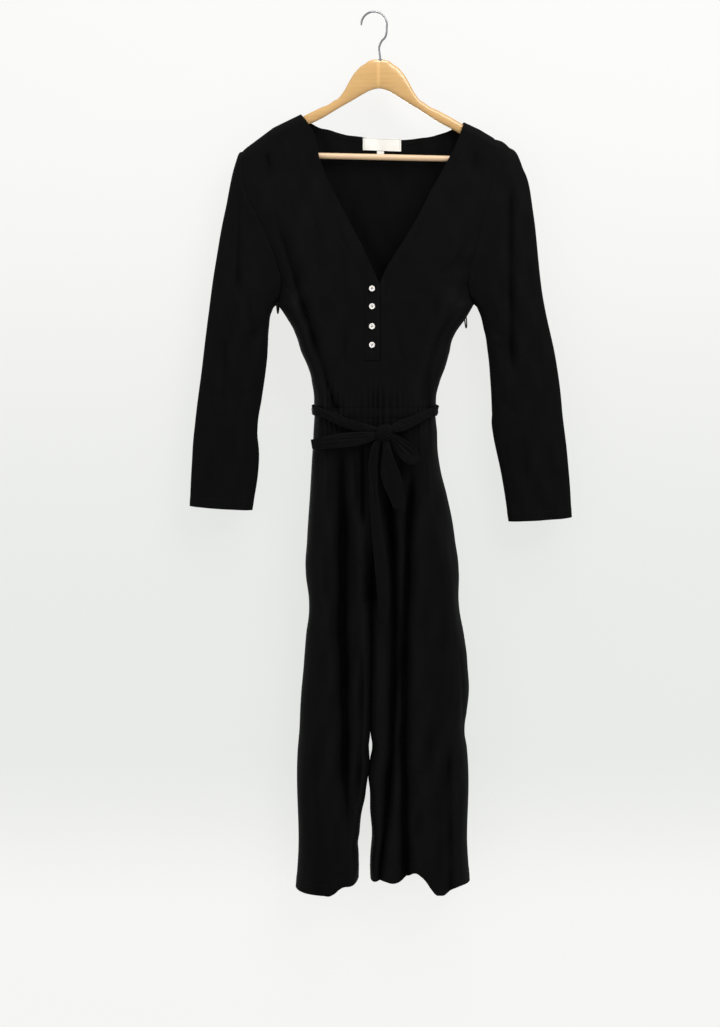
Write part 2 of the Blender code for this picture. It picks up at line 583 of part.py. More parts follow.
def front_bodice(is_left):
    """Grid of one front: columns run from the armhole and side seam to the front edge."""
    tip, knot, neck = ((TIP_LEFT, SHOULDER_KNOT_LEFT, NECK_LEFT) if is_left else
                       (TIP_RIGHT, SHOULDER_KNOT_RIGHT, NECK_RIGHT))
    armhole = ARMHOLE_LEFT if is_left else ARMHOLE_RIGHT
    neck_edge = NECK_EDGE_LEFT if is_left else NECK_EDGE_RIGHT
    underarm = UNDERARM_LEFT if is_left else UNDERARM_RIGHT
    side = "left" if is_left else "right"
    shares = [spread(column / FRONT_COLUMNS) for column in range(FRONT_COLUMNS + 1)]
    grid = []
    for arm_share in arm_shares():
        outer_drop = tip[1] + (underarm[1] - tip[1]) * arm_share
        inner_drop = neck[1] + (V_FOOT[1] - neck[1]) * arm_share
        outer_x = along(armhole, "drop", "x", outer_drop)
        inner_x = along(neck_edge, "drop", "x", inner_drop)
        row = []
        for column, share in enumerate(shares):
            seam_x, seam_drop = shoulder_point(share, tip, knot, neck)
            straight_x = outer_x + (inner_x - outer_x) * share
            straight = outer_drop + (inner_drop - outer_drop) * share
            seam_line = tip[1] + (neck[1] - tip[1]) * share
            drop = straight + (seam_drop - seam_line) * (1.0 - arm_share)
            x = seam_x if arm_share == 0.0 else straight_x
            row.append((x, -bodice_depth(x, drop, True), -drop))
        grid.append(row)
    for lower_share in lower_shares():
        outer_drop = underarm[1] + (WAIST_TOP - underarm[1]) * lower_share
        inner_drop = V_FOOT[1] + (WAIST_TOP - V_FOOT[1]) * lower_share
        outer_x = along(BODY_SIDES, "drop", side, outer_drop)
        row = []
        for column, share in enumerate(shares):
            x = outer_x + (V_FOOT[0] - outer_x) * share
            drop = outer_drop + (inner_drop - outer_drop) * share
            wave = bodice_gather(drop, column / FRONT_COLUMNS, GATHERS_PER_FRONT, 0.8)
            row.append((x, -bodice_depth(x, drop, True) - wave, -drop))
        grid.append(row)
    return grid


def back_bodice():
    """Grid of the back: columns run from the left armhole to the right one."""
    shoulder = [column / BACK_SHOULDER_COLUMNS for column in range(BACK_SHOULDER_COLUMNS + 1)]
    top = [shoulder_point(share, TIP_LEFT, SHOULDER_KNOT_LEFT, NECK_LEFT) for share in shoulder]
    neck_width = NECK_RIGHT[0] - NECK_LEFT[0]
    for column in range(1, BACK_NECK_COLUMNS):
        x = NECK_LEFT[0] + neck_width * spread(column / BACK_NECK_COLUMNS, 0.85)
        top.append((x, along(BACK_NECK, "x", "drop", x)))
    top += [shoulder_point(share, TIP_RIGHT, SHOULDER_KNOT_RIGHT, NECK_RIGHT)
            for share in reversed(shoulder)]
    columns = len(top) - 1
    even = [spread(column / columns) for column in range(columns + 1)]
    grid = []
    for arm_share in arm_shares():
        left_drop = TIP_LEFT[1] + (UNDERARM_LEFT[1] - TIP_LEFT[1]) * arm_share
        right_drop = TIP_RIGHT[1] + (UNDERARM_RIGHT[1] - TIP_RIGHT[1]) * arm_share
        left_x = along(ARMHOLE_LEFT, "drop", "x", left_drop)
        right_x = along(ARMHOLE_RIGHT, "drop", "x", right_drop)
        row = []
        for column, (seam_x, seam_drop) in enumerate(top):
            first = (seam_x - TIP_LEFT[0]) / (TIP_RIGHT[0] - TIP_LEFT[0])
            share = first + (even[column] - first) * smooth_step(0.0, 0.8, arm_share)
            x = left_x + (right_x - left_x) * share
            bottom = UNDERARM_LEFT[1]
            drop = seam_drop + (bottom - seam_drop) * arm_share
            row.append((x, bodice_depth(x, drop, False), -drop))
        grid.append(row)
    for lower_share in lower_shares():
        drop = UNDERARM_LEFT[1] + (WAIST_TOP - UNDERARM_LEFT[1]) * lower_share
        left_x = along(BODY_SIDES, "drop", "left", drop)
        right_x = along(BODY_SIDES, "drop", "right", drop)
        row = []
        for column, share in enumerate(even):
            x = left_x + (right_x - left_x) * share
            wave = bodice_gather(drop, column / columns, GATHERS_ACROSS_BACK, 2.1)
            row.append((x, bodice_depth(x, drop, False) + wave, -drop))
        grid.append(row)
    return grid


# ================================================================ the sleeves
def sleeve(is_left):
    """Rings from the armhole to the cuff; each starts at the outer edge, front side first."""
    rings = SLEEVE_LEFT if is_left else SLEEVE_RIGHT
    armhole = ARMHOLE_LEFT if is_left else ARMHOLE_RIGHT
    tip, underarm = (TIP_LEFT, UNDERARM_LEFT) if is_left else (TIP_RIGHT, UNDERARM_RIGHT)
    count = len(rings) - 1
    shares = arm_shares()
    around = [(share, True) for share in shares] + [(share, False) for share in shares[-2:0:-1]]
    numbered = [IndexedRing(number, *ring) for number, ring in enumerate(rings)]
    grid = []
    for ring_row in range(SLEEVE_RINGS + 1):
        along_sleeve = count * (ring_row / SLEEVE_RINGS) ** 1.15
        section = [along(numbered, "number", column, along_sleeve) for column in Ring._fields]
        outer_x, outer_drop, inner_x, inner_drop, front, back = section
        loose = smooth_step(0.0, 2.2, along_sleeve)
        hooked = (1.0 - smooth_step(0.0, 3.0, along_sleeve)) ** 2
        row = []
        for share, is_front in around:
            rail_drop = tip[1] + (underarm[1] - tip[1]) * share
            rail_x = along(armhole, "drop", "x", rail_drop)
            chord_x = tip[0] + (underarm[0] - tip[0]) * share
            x = outer_x + (inner_x - outer_x) * share + (rail_x - chord_x) * hooked
            drop = outer_drop + (inner_drop - outer_drop) * share
            rail_y = bodice_depth(rail_x, rail_drop, is_front)
            half = front if is_front else back
            tube_y = half * sqrt(max(0.0, 1.0 - abs(2.0 * share - 1.0) ** 2.3))
            folds = FRONT_FOLDS if is_front else BACK_FOLDS
            settled = smooth_step(0.02, 0.15, share) * smooth_step(0.02, 0.15, 1.0 - share)
            tube_y = tube_y + fold_height(folds, x, drop) * settled
            height = rail_y * (1.0 - loose) + tube_y * loose
            tilt = UNDERARM_Y * share * loose
            row.append((x, (-height if is_front else height) + tilt, -drop))
        grid.append(row)
    return grid


# ================================================================ the waist casing
def body_ring(drop, columns):
    """Closed ring of points round the body at one level."""
    left = along(BODY_SIDES, "drop", "left", drop)
    right = along(BODY_SIDES, "drop", "right", drop)
    row = []
    for is_front in (True, False):
        for column in range(columns):
            share = spread(column / columns)
            share = share if is_front else 1.0 - share
            x = left + (right - left) * share
            depth = bodice_depth(x, JUST_ABOVE_WAIST, is_front)
            if column == 0:
                depth = SIDE_SEAM_Y if not is_front else -SIDE_SEAM_Y
            wave = CASING_RISE * sin(2.0 * pi * GATHERS_ACROSS_CASING * column / columns)
            depth = depth + wave * min(1.0, 6.0 * share, 6.0 * (1.0 - share))
            row.append((x, -depth if is_front else depth, -drop))
    return row


def waist_casing():
    """Two rows: the casing stands a little proud between bodice and trousers."""
    columns = 4 * GATHERS_ACROSS_CASING
    return [body_ring(WAIST_TOP, columns), body_ring(WAIST_BOTTOM, columns)]


# ================================================================ the trousers
def leg_drops():
    """Rows from the waist to the hem; one lies on the crotch."""
    upper = [WAIST_BOTTOM + (CROTCH[1] - WAIST_BOTTOM) * share
             for share in (0.0, 0.05, 0.14, 0.28, 0.45, 0.62, 0.77, 0.90, 1.0)]
    lower = [CROTCH[1] + (HEM_ROW - CROTCH[1]) * share
             for share in (0.04, 0.16, 0.33, 0.50, 0.67, 0.84, 1.0)]
    return upper + lower


def leg_edges(drop, is_left):
    """x of the left and right seams of one leg's panels at a level."""
    side = along(BODY_SIDES, "drop", "left" if is_left else "right", drop)
    if drop <= CROTCH[1] + 1e-9:
        inner = along(CENTRE_SEAM, "drop", "x", drop)
    else:
        inner = along(INSEAMS, "drop", "left" if is_left else "right", drop)
    return (side, inner) if is_left else (inner, side)


def leg_panel(is_left, is_front):
    """Grid of one trouser panel, from its left seam to its right seam."""
    columns = LEG_FRONT_COLUMNS if is_front else LEG_BACK_COLUMNS
    gathers = GATHERS_PER_FRONT if is_front else GATHERS_PER_LEG_BACK
    hem = HEM_LEFT if is_left else HEM_RIGHT
    sign = -1.0 if is_front else 1.0
    grid = []
    for level in leg_drops():
        left, right = leg_edges(level, is_left)
        row = []
        for column in range(columns + 1):
            x = left + (right - left) * spread(column / columns)
            fade = 1.0 - smooth_step(WAIST_BOTTOM + 0.01, WAIST_BOTTOM + GATHER_FADE_DOWN, level)
            wave = GATHER_RISE * fade * gather_wave(column / columns, gathers, 1.7)
            depth = leg_depth(x, level, left, right, is_front, is_left) + wave
            last = smooth_step(CROTCH[1] + 0.2, HEM_ROW, level)
            drop = level + (along(hem, "x", "drop", x) - HEM_ROW) * last
            row.append((x, sign * depth, -drop))
        grid.append(row)
    return grid


# ================================================================ what lies on the cloth
def front_patch(x_range, drop_range, columns, rows, lift):
    """Grid of points over the front, moved out by `lift`."""
    grid = []
    for row in range(rows + 1):
        drop = drop_range[0] + (drop_range[1] - drop_range[0]) * row / rows
        line = []
        for column in range(columns + 1):
            x = x_range[0] + (x_range[1] - x_range[0]) * column / columns
            line.append((x, -bodice_depth(x, drop, True) - lift, -drop))
        grid.append(line)
    return grid


def build_button(number, drop, collection):
    """A turned button with a raised rim, lying on the button stand."""
    half, rim = BUTTON_THICKNESS / 2.0, BUTTON_RIM
    profile = (
        (0.0, half - 0.0006), (BUTTON_RADIUS - rim - 0.0004, half - 0.0006),
        (BUTTON_RADIUS - rim, half), (BUTTON_RADIUS - 0.0003, half - 0.0001),
        (BUTTON_RADIUS, 0.0), (BUTTON_RADIUS - 0.0008, -half), (0.0, -half),
    )
    mesh = bpy.data.meshes.new(f"button_{number}")
    build = bmesh.new()
    points = [build.verts.new((radius, 0.0, height)) for radius, height in profile]
    edges = [build.edges.new(pair) for pair in zip(points, points[1:])]
    bmesh.ops.spin(build, geom=points + edges, cent=(0.0, 0.0, 0.0), axis=(0.0, 0.0, 1.0),
                   angle=2.0 * pi, steps=14)
    bmesh.ops.remove_doubles(build, verts=build.verts, dist=0.00001)
    bmesh.ops.recalc_face_normals(build, faces=build.faces)
    build.to_mesh(mesh)
    build.free()
    mesh.shade_smooth()
    mesh.set_sharp_from_angle(angle=radians(40.0))
    item = add_object(f"button_{number}", mesh, collection, PEARL)
    step = 0.004
    above = bodice_depth(BUTTON_X, drop - step, True)
    below = bodice_depth(BUTTON_X, drop + step, True)
    left = bodice_depth(BUTTON_X - step, drop, True)
    right = bodice_depth(BUTTON_X + step, drop, True)
    outward = Vector((-(right - left) / (2.0 * step), -1.0, (below - above) / (2.0 * step)))
    outward.normalize()
    surface = Vector((BUTTON_X, -bodice_depth(BUTTON_X, drop, True), -drop))
    item.location = surface + outward * (PLACKET_LIFT + 2.0 * SEAM_GAP + half)
    item.rotation_euler = outward.to_track_quat("Z", "Y").to_euler()
    return item


# ================================================================ the belt
def strip_grid(stations, steps):
    """Grid along a strip's middle line, crowned across its width."""
    numbered = [IndexedStation(number, *station) for number, station in enumerate(stations)]
    count = (len(stations) - 1) * steps
    places = []
    for step in range(count + 1):
        at = step / steps
        places.append([along(numbered, "number", field, at) for field in Station._fields])
    grid = []
    for number, (x, y, drop, width, lean) in enumerate(places):
        before = places[max(number - 1, 0)]
        after = places[min(number + 1, count)]
        run = Vector((after[0] - before[0], 0.0, before[2] - after[2])).normalized()
        sideways = Vector((-run.z, 0.0, run.x))
        sideways = (sideways * cos(lean) + Vector((0.0, -sin(lean), 0.0))).normalized()
        row = []
        for column in range(STRIP_COLUMNS + 1):
            share = 2.0 * column / STRIP_COLUMNS - 1.0
            bulge = STRIP_CROWN * (1.0 - share * share)
            point = Vector((x, y - bulge, -drop)) + sideways * (0.5 * width * share)
            row.append(tuple(point))
        grid.append(row)
    return grid


def waist_outline():
    """Outline of the waist from just before the left side, round the back, to the right."""
    left = along(BODY_SIDES, "drop", "left", WAIST_TOP)
    right = along(BODY_SIDES, "drop", "right", WAIST_TOP)
    columns = 20
    back = [left + (right - left) * spread(column / columns) for column in range(columns + 1)]
    outline = [(x, bodice_depth(x, JUST_ABOVE_WAIST, False)) for x in back]
    wrap = (0.0010, 0.0028)
    before = [(left + step, -bodice_depth(left + step, WAIST_TOP, True)) for step in wrap]
    after = [(right - step, -bodice_depth(right - step, WAIST_TOP, True)) for step in wrap]
    return np.array(before[::-1] + outline + after)


def belt_back_grid():
    """The belt's stretch round the sides and back, standing just off the gathers."""
    outline = waist_outline()
    run = unit(np.gradient(outline, axis=0))
    outward = np.stack((-run[:, 1], run[:, 0]), axis=-1)
    off_cloth = outline + outward * (BELT_WALL + GATHER_RISE + 2.0 * SEAM_GAP)
    half = BELT_BACK_HEIGHT / 2.0
    return [[(x + out[0] * lift, y + out[1] * lift, -(BELT_BACK_DROP + level))
             for (x, y), out in zip(off_cloth, outward)]
            for level, lift in ((-half, 0.0), (0.0, STRIP_CROWN / 2.0), (half, 0.0))]


def build_knot(collection):
    """The wrap of the knot: a soft block from a coarse cage."""
    build = bmesh.new()
    bmesh.ops.create_cube(build, size=1.0)
    bmesh.ops.scale(build, vec=KNOT_SIZE, verts=build.verts)
    mesh = bpy.data.meshes.new("belt_knot")
    build.to_mesh(mesh)
    build.free()
    item = add_object("belt_knot", mesh, collection, CREPE)
    item.location = (KNOT_CENTRE[0], KNOT_CENTRE[1], -KNOT_CENTRE[2])
    round_off = item.modifiers.new("rounding", "SUBSURF")
    round_off.levels = 2
    round_off.render_levels = 2
    mesh.shade_smooth()
    return item


# ================================================================ the label
def flat_patch(x_range, drop_range, columns, rows, inset):
    """Grid facing forward just inside the back's inner face, a little askew."""
    grid = []
    for row in range(rows + 1):
        drop = drop_range[0] + (drop_range[1] - drop_range[0]) * row / rows
        line = []
        for column in range(columns + 1):
            x = x_range[0] + (x_range[1] - x_range[0]) * column / columns
            slope = LABEL_SLOPE * (x - LABEL_X[0])
            y = bodice_depth(x, drop + 0.003, False) - CLOTH_WALL - inset
            line.append((x, y, -(drop + slope)))
        grid.append(line)
    return grid


# ================================================================ the hanger
def tilt_point(out, drop):
    """Turn a point of the level hanger to where it hangs."""
    x = HANGER_X + out * cos(HANGER_TILT)
    return x, drop + out * sin(HANGER_TILT)


def build_hanger(collection):
    """The wooden arms: rounded sections lofted from one tip to the other."""
    stations = [Arm(-arm.out, arm.top, arm.bottom) for arm in reversed(ARM[1:])] + list(ARM)
    points = []
    for arm in stations:
        middle, half = (arm.top + arm.bottom) / 2.0, (arm.bottom - arm.top) / 2.0
        thick = min(HANGER_THICKNESS / 2.0, 0.0025 + half)
        for number in range(HANGER_AROUND):
            angle = 2.0 * pi * number / HANGER_AROUND
            high = cos(angle)
            deep = np.sign(sin(angle)) * abs(sin(angle)) ** 0.85
            x, drop = tilt_point(arm.out, middle - half * high)
            points.append((x, thick * deep, -drop))
    rings = len(stations)
    faces = []
    for ring in range(rings - 1):
        for number in range(HANGER_AROUND):
            following = (number + 1) % HANGER_AROUND
            a, b = ring * HANGER_AROUND + number, ring * HANGER_AROUND + following
            faces.append((a, b, b + HANGER_AROUND, a + HANGER_AROUND))
    faces.append(tuple(range(HANGER_AROUND)))
    faces.append(tuple(range((rings - 1) * HANGER_AROUND, rings * HANGER_AROUND)))
    return mesh_object("hanger_body", points, faces, collection, BEECH, 35.0)


def build_bar(collection):
    """The trouser bar between the arms."""
    bpy.ops.mesh.primitive_cylinder_add(vertices=20, radius=BAR_RADIUS, depth=2.0 * BAR_HALF)
    item = bpy.context.object
    item.name = "hanger_bar"
    x, drop = tilt_point(0.0, BAR_DROP)
    item.location = (x, 0.0, -drop)
    item.rotation_euler = (0.0, pi / 2.0 + HANGER_TILT, 0.0)
    item.data.shade_smooth()
    item.data.set_sharp_from_angle(angle=radians(40.0))
    item.data.materials.append(finish(PALE_ROD))
    for owner in item.users_collection:
        owner.objects.unlink(item)
    collection.objects.link(item)
    return item


def build_hook(collection):
    """The steel hook: a shank that swings out into an open bend over the seat."""
    foot_x, foot_drop = tilt_point(0.0, ARM[0].top)
    shank = (
        (foot_x + 0.0015, foot_drop - SEAM_GAP), (foot_x + 0.0004, foot_drop - 0.0100),
        (foot_x - 0.0002, foot_drop - 0.0155), (foot_x + 0.0010, foot_drop - 0.0220),
        (foot_x + 0.0045, foot_drop - 0.0290),
    )
    points = [Vector((x, 0.0, -drop)) for x, drop in smooth_path(shank, 2)]
    start = atan2(-(shank[-1][1] - HOOK_CENTRE[1]), shank[-1][0] - HOOK_CENTRE[0])
    turns = 18
    for step in range(1, turns + 1):
        angle = start + (pi + 0.06 - start) * step / turns
        blend = smooth_step(0, 4, step)
        reach = HOOK_BEND * blend + (1.0 - blend) * hypot(
            shank[-1][0] - HOOK_CENTRE[0], shank[-1][1] - HOOK_CENTRE[1])
        points.append(Vector((HOOK_CENTRE[0] + reach * cos(angle), 0.0,
                              -HOOK_CENTRE[1] + reach * sin(angle))))
    curve = bpy.data.curves.new("hanger_hook", "CURVE")
    curve.dimensions = "3D"
    curve.bevel_depth = HOOK_RADIUS
    curve.bevel_resolution = 2
    curve.use_fill_caps = True
    spline = curve.splines.new("POLY")
    spline.points.add(len(points) - 1)
    for slot, point in zip(spline.points, points):
        slot.co = (*point, 1.0)
    return add_object("hanger_hook", curve, collection, STEEL)


def smooth_path(knots, steps):
    """Points on a smooth curve through the knots."""
    rows = [PathKnot(number, *knot) for number, knot in enumerate(knots)]
    count = (len(knots) - 1) * steps
    return [(along(rows, "number", "x", step / steps), along(rows, "number", "drop", step / steps))
            for step in range(count + 1)]


# ================================================================ assembly
def cloth_panels():
    """Every sewn cloth panel, with the edges where it meets another."""
    fronts = [
        Panel("front_bodice_left", front_bodice(True), seams=("top", "first", "last", "bottom")),
        Panel("front_bodice_right", front_bodice(False), flip=True,
              seams=("top", "first", "last", "bottom")),
    ]
    back = Panel("back_bodice", back_bodice(), flip=True, seams=("top", "first", "last", "bottom"))
    sleeves = [
        Panel("sleeve_left", sleeve(True), closed=True, seams=("top",)),
        Panel("sleeve_right", sleeve(False), flip=True, closed=True, seams=("top",)),
    ]
    casing = Panel("waist_casing", waist_casing(), closed=True, seams=("top", "bottom"))
    legs = []
    for is_left in (True, False):
        for is_front in (True, False):
            name = f"leg_{'front' if is_front else 'back'}_{'left' if is_left else 'right'}"
            legs.append(Panel(name, leg_panel(is_left, is_front), flip=not is_front,
                              seams=("top", "first", "last")))
    panels = fronts + [back] + sleeves + [casing] + legs
    share_seam_normals(panels)
    for front in fronts:
        flatten_normals(front, (0, slice(None)), 1)
    flatten_normals(back, (0, slice(None, BACK_SHOULDER_COLUMNS + 1)), 1)
    flatten_normals(back, (0, slice(-BACK_SHOULDER_COLUMNS - 1, None)), 1)
    for panel in fronts + [back]:
        flatten_normals(panel, (-1, slice(None)), 2)
    flatten_normals(casing, (0, slice(None)), 2)
    flatten_normals(casing, (1, slice(None)), 2)
    for leg in legs:
        flatten_normals(leg, (0, slice(None)), 2)
        at_crotch = np.abs(leg.points[..., 2] + CROTCH[1]) < 1e-6
        for column in (0, -1):
            row = np.flatnonzero(at_crotch[:, column])
            if abs(leg.points[row[0], column, 0] - CROTCH[0]) < 1e-6:
                leg.normals[row[0], column] = (0.0, 0.0, -1.0)
    for panel in panels:
        panel.inset_seams()
    return panels


def main():
    for item in list(bpy.data.objects):
        bpy.data.objects.remove(item, do_unlink=True)
    collection = bpy.data.collections.new("jumpsuit_on_hanger")
    bpy.context.scene.collection.children.link(collection)
    for panel in cloth_panels():
        panel.build(collection, CREPE)
    placket = Panel("placket", front_patch(PLACKET_X, PLACKET_DROPS, 4, 12, PLACKET_LIFT))
    placket.build(collection, CREPE)
    for number, drop in enumerate(BUTTON_DROPS, start=1):
        build_button(number, drop, collection)
    strips = (
        ("belt_left", BELT_LEFT, 2), ("belt_right", BELT_RIGHT, 2),
        ("belt_loop_left", LOOP_LEFT, 2), ("belt_loop_right", LOOP_RIGHT, 3),
        ("belt_tail_short", TAIL_SHORT, 3), ("belt_tail_long", TAIL_LONG, 2),
    )
    for name, stations, steps in strips:
        strip = Panel(name, strip_grid(stations, steps), wall=BELT_WALL)
        strip.build(collection, CREPE)
    Panel("belt_back", belt_back_grid(), flip=True, wall=BELT_WALL).build(collection, CREPE)
    build_knot(collection)
    Panel("neck_label", flat_patch(LABEL_X, LABEL_DROPS, 8, 3, SEAM_GAP + LABEL_WALL),
          wall=LABEL_WALL).build(collection, LABEL)
    Panel("size_tab", flat_patch(TAB_X, TAB_DROPS, 2, 3, SEAM_GAP + LABEL_WALL),
          wall=LABEL_WALL).build(collection, LABEL)
    build_hanger(collection)
    build_bar(collection)
    build_hook(collection)


main()
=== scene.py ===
"""The looks of a long-sleeved tie-waist jumpsuit on a wooden hanger.

Frame: metres, +X to the right of someone facing the front, the front faces -Y, +Z up.
The origin is the inside top of the hanger's hook.  "drop" is the distance below it, so
z = -drop, and "left" is the -X side.

Each cloth piece is a closed thin wall under a fine grid.  The grids repeat the cut of the
solids, with the folds, creases, gathers, hems and stitching that the solids leave out.
"""

import logging
from collections.abc import Iterable, Sequence
from dataclasses import dataclass, field
from enum import Enum
from math import cos, pi, radians, sin, tau
from typing import Any

import bmesh
import bpy
import numpy as np
from mathutils import Euler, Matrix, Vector


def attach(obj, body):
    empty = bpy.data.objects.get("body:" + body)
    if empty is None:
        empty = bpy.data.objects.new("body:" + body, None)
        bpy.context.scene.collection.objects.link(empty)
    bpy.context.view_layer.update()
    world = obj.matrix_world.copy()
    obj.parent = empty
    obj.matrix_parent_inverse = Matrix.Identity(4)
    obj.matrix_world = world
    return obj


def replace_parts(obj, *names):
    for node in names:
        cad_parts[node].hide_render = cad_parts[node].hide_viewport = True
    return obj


log = logging.getLogger("jumpsuit")
Array = np.ndarray
Spot = tuple[float, float]
Place = tuple[float, float, float]
Colour = tuple[float, float, float]
Shape = tuple[Array, list[tuple[int, ...]]]


class Face(Enum):
    """Which side of the garment a piece lies on."""

    FRONT = "front"
    BACK = "back"

    @property
    def column(self) -> int:
        """Its column in the depth tables."""
        return 1 if self is Face.FRONT else 2

    @property
    def sign(self) -> float:
        """Which way it lies from the hanger's plane, along y."""
        return -1.0 if self is Face.FRONT else 1.0


class Hand(Enum):
    """Which hand of the garment, seen from in front."""

    LEFT = "left"
    RIGHT = "right"

    @property
    def column(self) -> int:
        """Its column in the tables of seams."""
        return 1 if self is Hand.LEFT else 2


# ==== sizes shared by the pieces
def both(left: Spot, right: Spot) -> Any:
    """A field that holds an (x, drop) for each hand."""
    return field(default_factory=lambda: {Hand.LEFT: left, Hand.RIGHT: right})


@dataclass(frozen=True)
class Cut:
    """Driving sizes of the garment, all in metres; every pair is (x, drop)."""

    wall: float = 0.0012
    belt_wall: float = 0.0016
    neck: dict[Hand, Spot] = both((-0.112, 0.152), (0.138, 0.164))
    shoulder_knot: dict[Hand, Spot] = both((-0.154, 0.172), (0.162, 0.175))
    tip: dict[Hand, Spot] = both((-0.202, 0.207), (0.186, 0.189))
    underarm: dict[Hand, Spot] = both((-0.150, 0.443), (0.156, 0.443))
    underarm_drop: float = 0.443
    underarm_y: float = 0.003
    side_seam_y: float = 0.002
    v_foot: Spot = (0.009, 0.4105)
    waist_top: float = 0.600
    waist_bottom: float = 0.616
    crotch: Spot = (-0.003, 0.905)
    crotch_y: float = 0.004
    crotch_curve: float = 0.150
    hem_row: float = 1.385
    shoulder_reach: float = 0.013
    chest_edge: float = 0.060
    side_edge: float = 0.030
    leg_side_edge: float = 0.028
    centre_edge: float = 0.020
    inseam_edge: float = 0.014
    gathered_above: float = 0.075
    gathered_below: float = 0.125


CUT = Cut()


def rows(*millimetres: Sequence[float]) -> Array:
    """A table in metres from its rows in millimetres."""
    return np.round(np.array(millimetres, dtype=float) / 1000.0, 7)


# columns: drop, x of the left side seam, x of the right side seam
BODY_SIDES = rows(
    (443, -150, 156), (465, -135, 143), (490, -122, 126), (515, -114, 119), (540, -103, 112),
    (565, -97, 103), (600, -94, 98), (640, -95, 100), (690, -98, 104), (740, -101, 116),
    (815, -106, 130), (865, -108, 136), (910, -103, 136), (965, -108, 145), (1015, -112, 151),
    (1090, -118, 150), (1115, -119, 147), (1150, -122, 151), (1330, -122, 153), (1385, -126, 157))
# columns: drop, x of the left leg's inseam, x of the right leg's inseam
INSEAMS = rows(
    (905, -2, -4), (1100, -3.6, -5.6), (1126, -4.4, -5.4), (1148, -6.4, -2.6), (1172, -5.2, -6),
    (1205, -8.2, -8.8), (1222, -10.5, -7), (1244, -13, -6), (1261, -16.5, -6), (1285, -19.8, -4.5),
    (1307, -21.4, -3), (1327, -24, -3.8), (1344, -23, -5.2), (1385, -23, -5.2))
# columns: x, drop
HEMS = {
    Hand.LEFT: rows(
        (-126, 1379), (-106, 1379.5), (-80, 1383), (-63, 1379.5), (-53, 1371), (-38, 1367),
        (-23, 1361.5)),
    Hand.RIGHT: rows(
        (-6, 1364), (18, 1360.5), (40, 1361.5), (55, 1353), (78, 1352.5), (86, 1362), (94, 1373.5),
        (107, 1381.5), (121, 1376.5), (130, 1370.5), (157, 1367)),
}
# columns: drop, x
NECK_EDGES = {
    Hand.LEFT: rows(
        (152, -112), (164, -102), (221, -83), (282, -55), (316, -37), (384, -3), (410.5, 9)),
    Hand.RIGHT: rows(
        (164, 138), (183, 131), (229, 109), (267, 88), (327, 56), (366, 31), (397, 14), (410.5, 9)),
}
# columns: drop, x
ARMHOLES = {
    Hand.LEFT: rows(
        (207, -202), (235, -202.5), (272, -197), (305, -181), (342, -164), (383, -149), (420, -144),
        (443, -150)),
    Hand.RIGHT: rows(
        (189, 186), (229, 183), (269, 177), (310, 168), (361, 156), (400, 147), (425, 148),
        (443, 156)),
}
# columns: x, drop
BACK_NECK = rows(
    (-112, 152), (-106, 158), (-96, 165), (-68, 175), (-21, 185), (17, 188), (72, 187), (102, 181),
    (121, 174), (132, 169), (138, 164))
# columns: drop, x
CENTRE_SEAM = rows(
    (616, 4), (740, 2), (905, -3))
# columns: drop, depth of the front, depth of the back
BODY_DEPTHS = rows(
    (160, 12.5, 12), (205, 13, 12.5), (270, 19, 16.5), (330, 25, 21), (390, 29, 24.5),
    (450, 32.5, 26.5), (510, 35.5, 28), (560, 38.5, 30), (616, 42, 32), (700, 44, 34),
    (900, 43, 31), (1100, 42, 30), (1385, 45, 32))
ARMHOLE_DEPTHS = rows(
    (190, 12.5, 12), (240, 14.5, 13.5), (290, 17.5, 15.5), (340, 18.5, 16.5), (380, 16.5, 15.5),
    (415, 10.5, 12), (435, 3, 7), (443, -3, 3))
# columns: outer x, outer drop, inner x, inner drop, front depth, back depth
SLEEVE_RINGS = {
    Hand.LEFT: rows(
        (-202, 207, -150, 443, 18, 16), (-213, 225, -158, 453, 19, 17),
        (-228, 290, -163, 478, 21, 18), (-243, 365, -165, 510, 21, 17),
        (-257, 455, -168, 543, 20, 15), (-269, 545, -175, 590, 19, 14),
        (-280, 625, -182, 640, 18, 13), (-286, 690, -180, 690, 17, 12),
        (-290, 758, -191, 765, 17, 12)),
    Hand.RIGHT: rows(
        (186, 189, 156, 443, 18, 16), (207, 201, 163, 453, 19, 17), (229, 232, 171, 480, 21, 18),
        (247, 305, 177, 512, 21, 17), (262, 425, 182, 560, 20, 15), (284, 525, 185, 610, 19, 14),
        (297, 620, 187, 645, 18, 13), (307, 700, 201, 710, 17, 12), (313, 776, 213, 783, 17, 12)),
}


# ==== small maths
def ramp(start: float, end: float, value: Array) -> Array:
    """Smooth step of a value: 0 before start, 1 after end."""
    share = np.clip((np.asarray(value, float) - start) / (end - start), 0.0, 1.0)
    return share * share * (3.0 - 2.0 * share)


def both_ramps(start: float, end: float, first: Array, second: Array) -> Array:
    """Product of the same smooth step of two values."""
    return ramp(start, end, first) * ramp(start, end, second)


def bell(off: Array) -> Array:
    """A bell curve, 1 at 0."""
    return np.exp(-(off ** 2))


ROUNDING, ROOT = 0.05, 0.2236  # how blunt a valley's middle is, and its square root


def valley(off: Array, steepness: float) -> Array:
    """A curve with a narrow middle, 1 at 0, and long even sides."""
    return np.exp(-steepness * (np.sqrt(off ** 2 + ROUNDING) - ROOT))


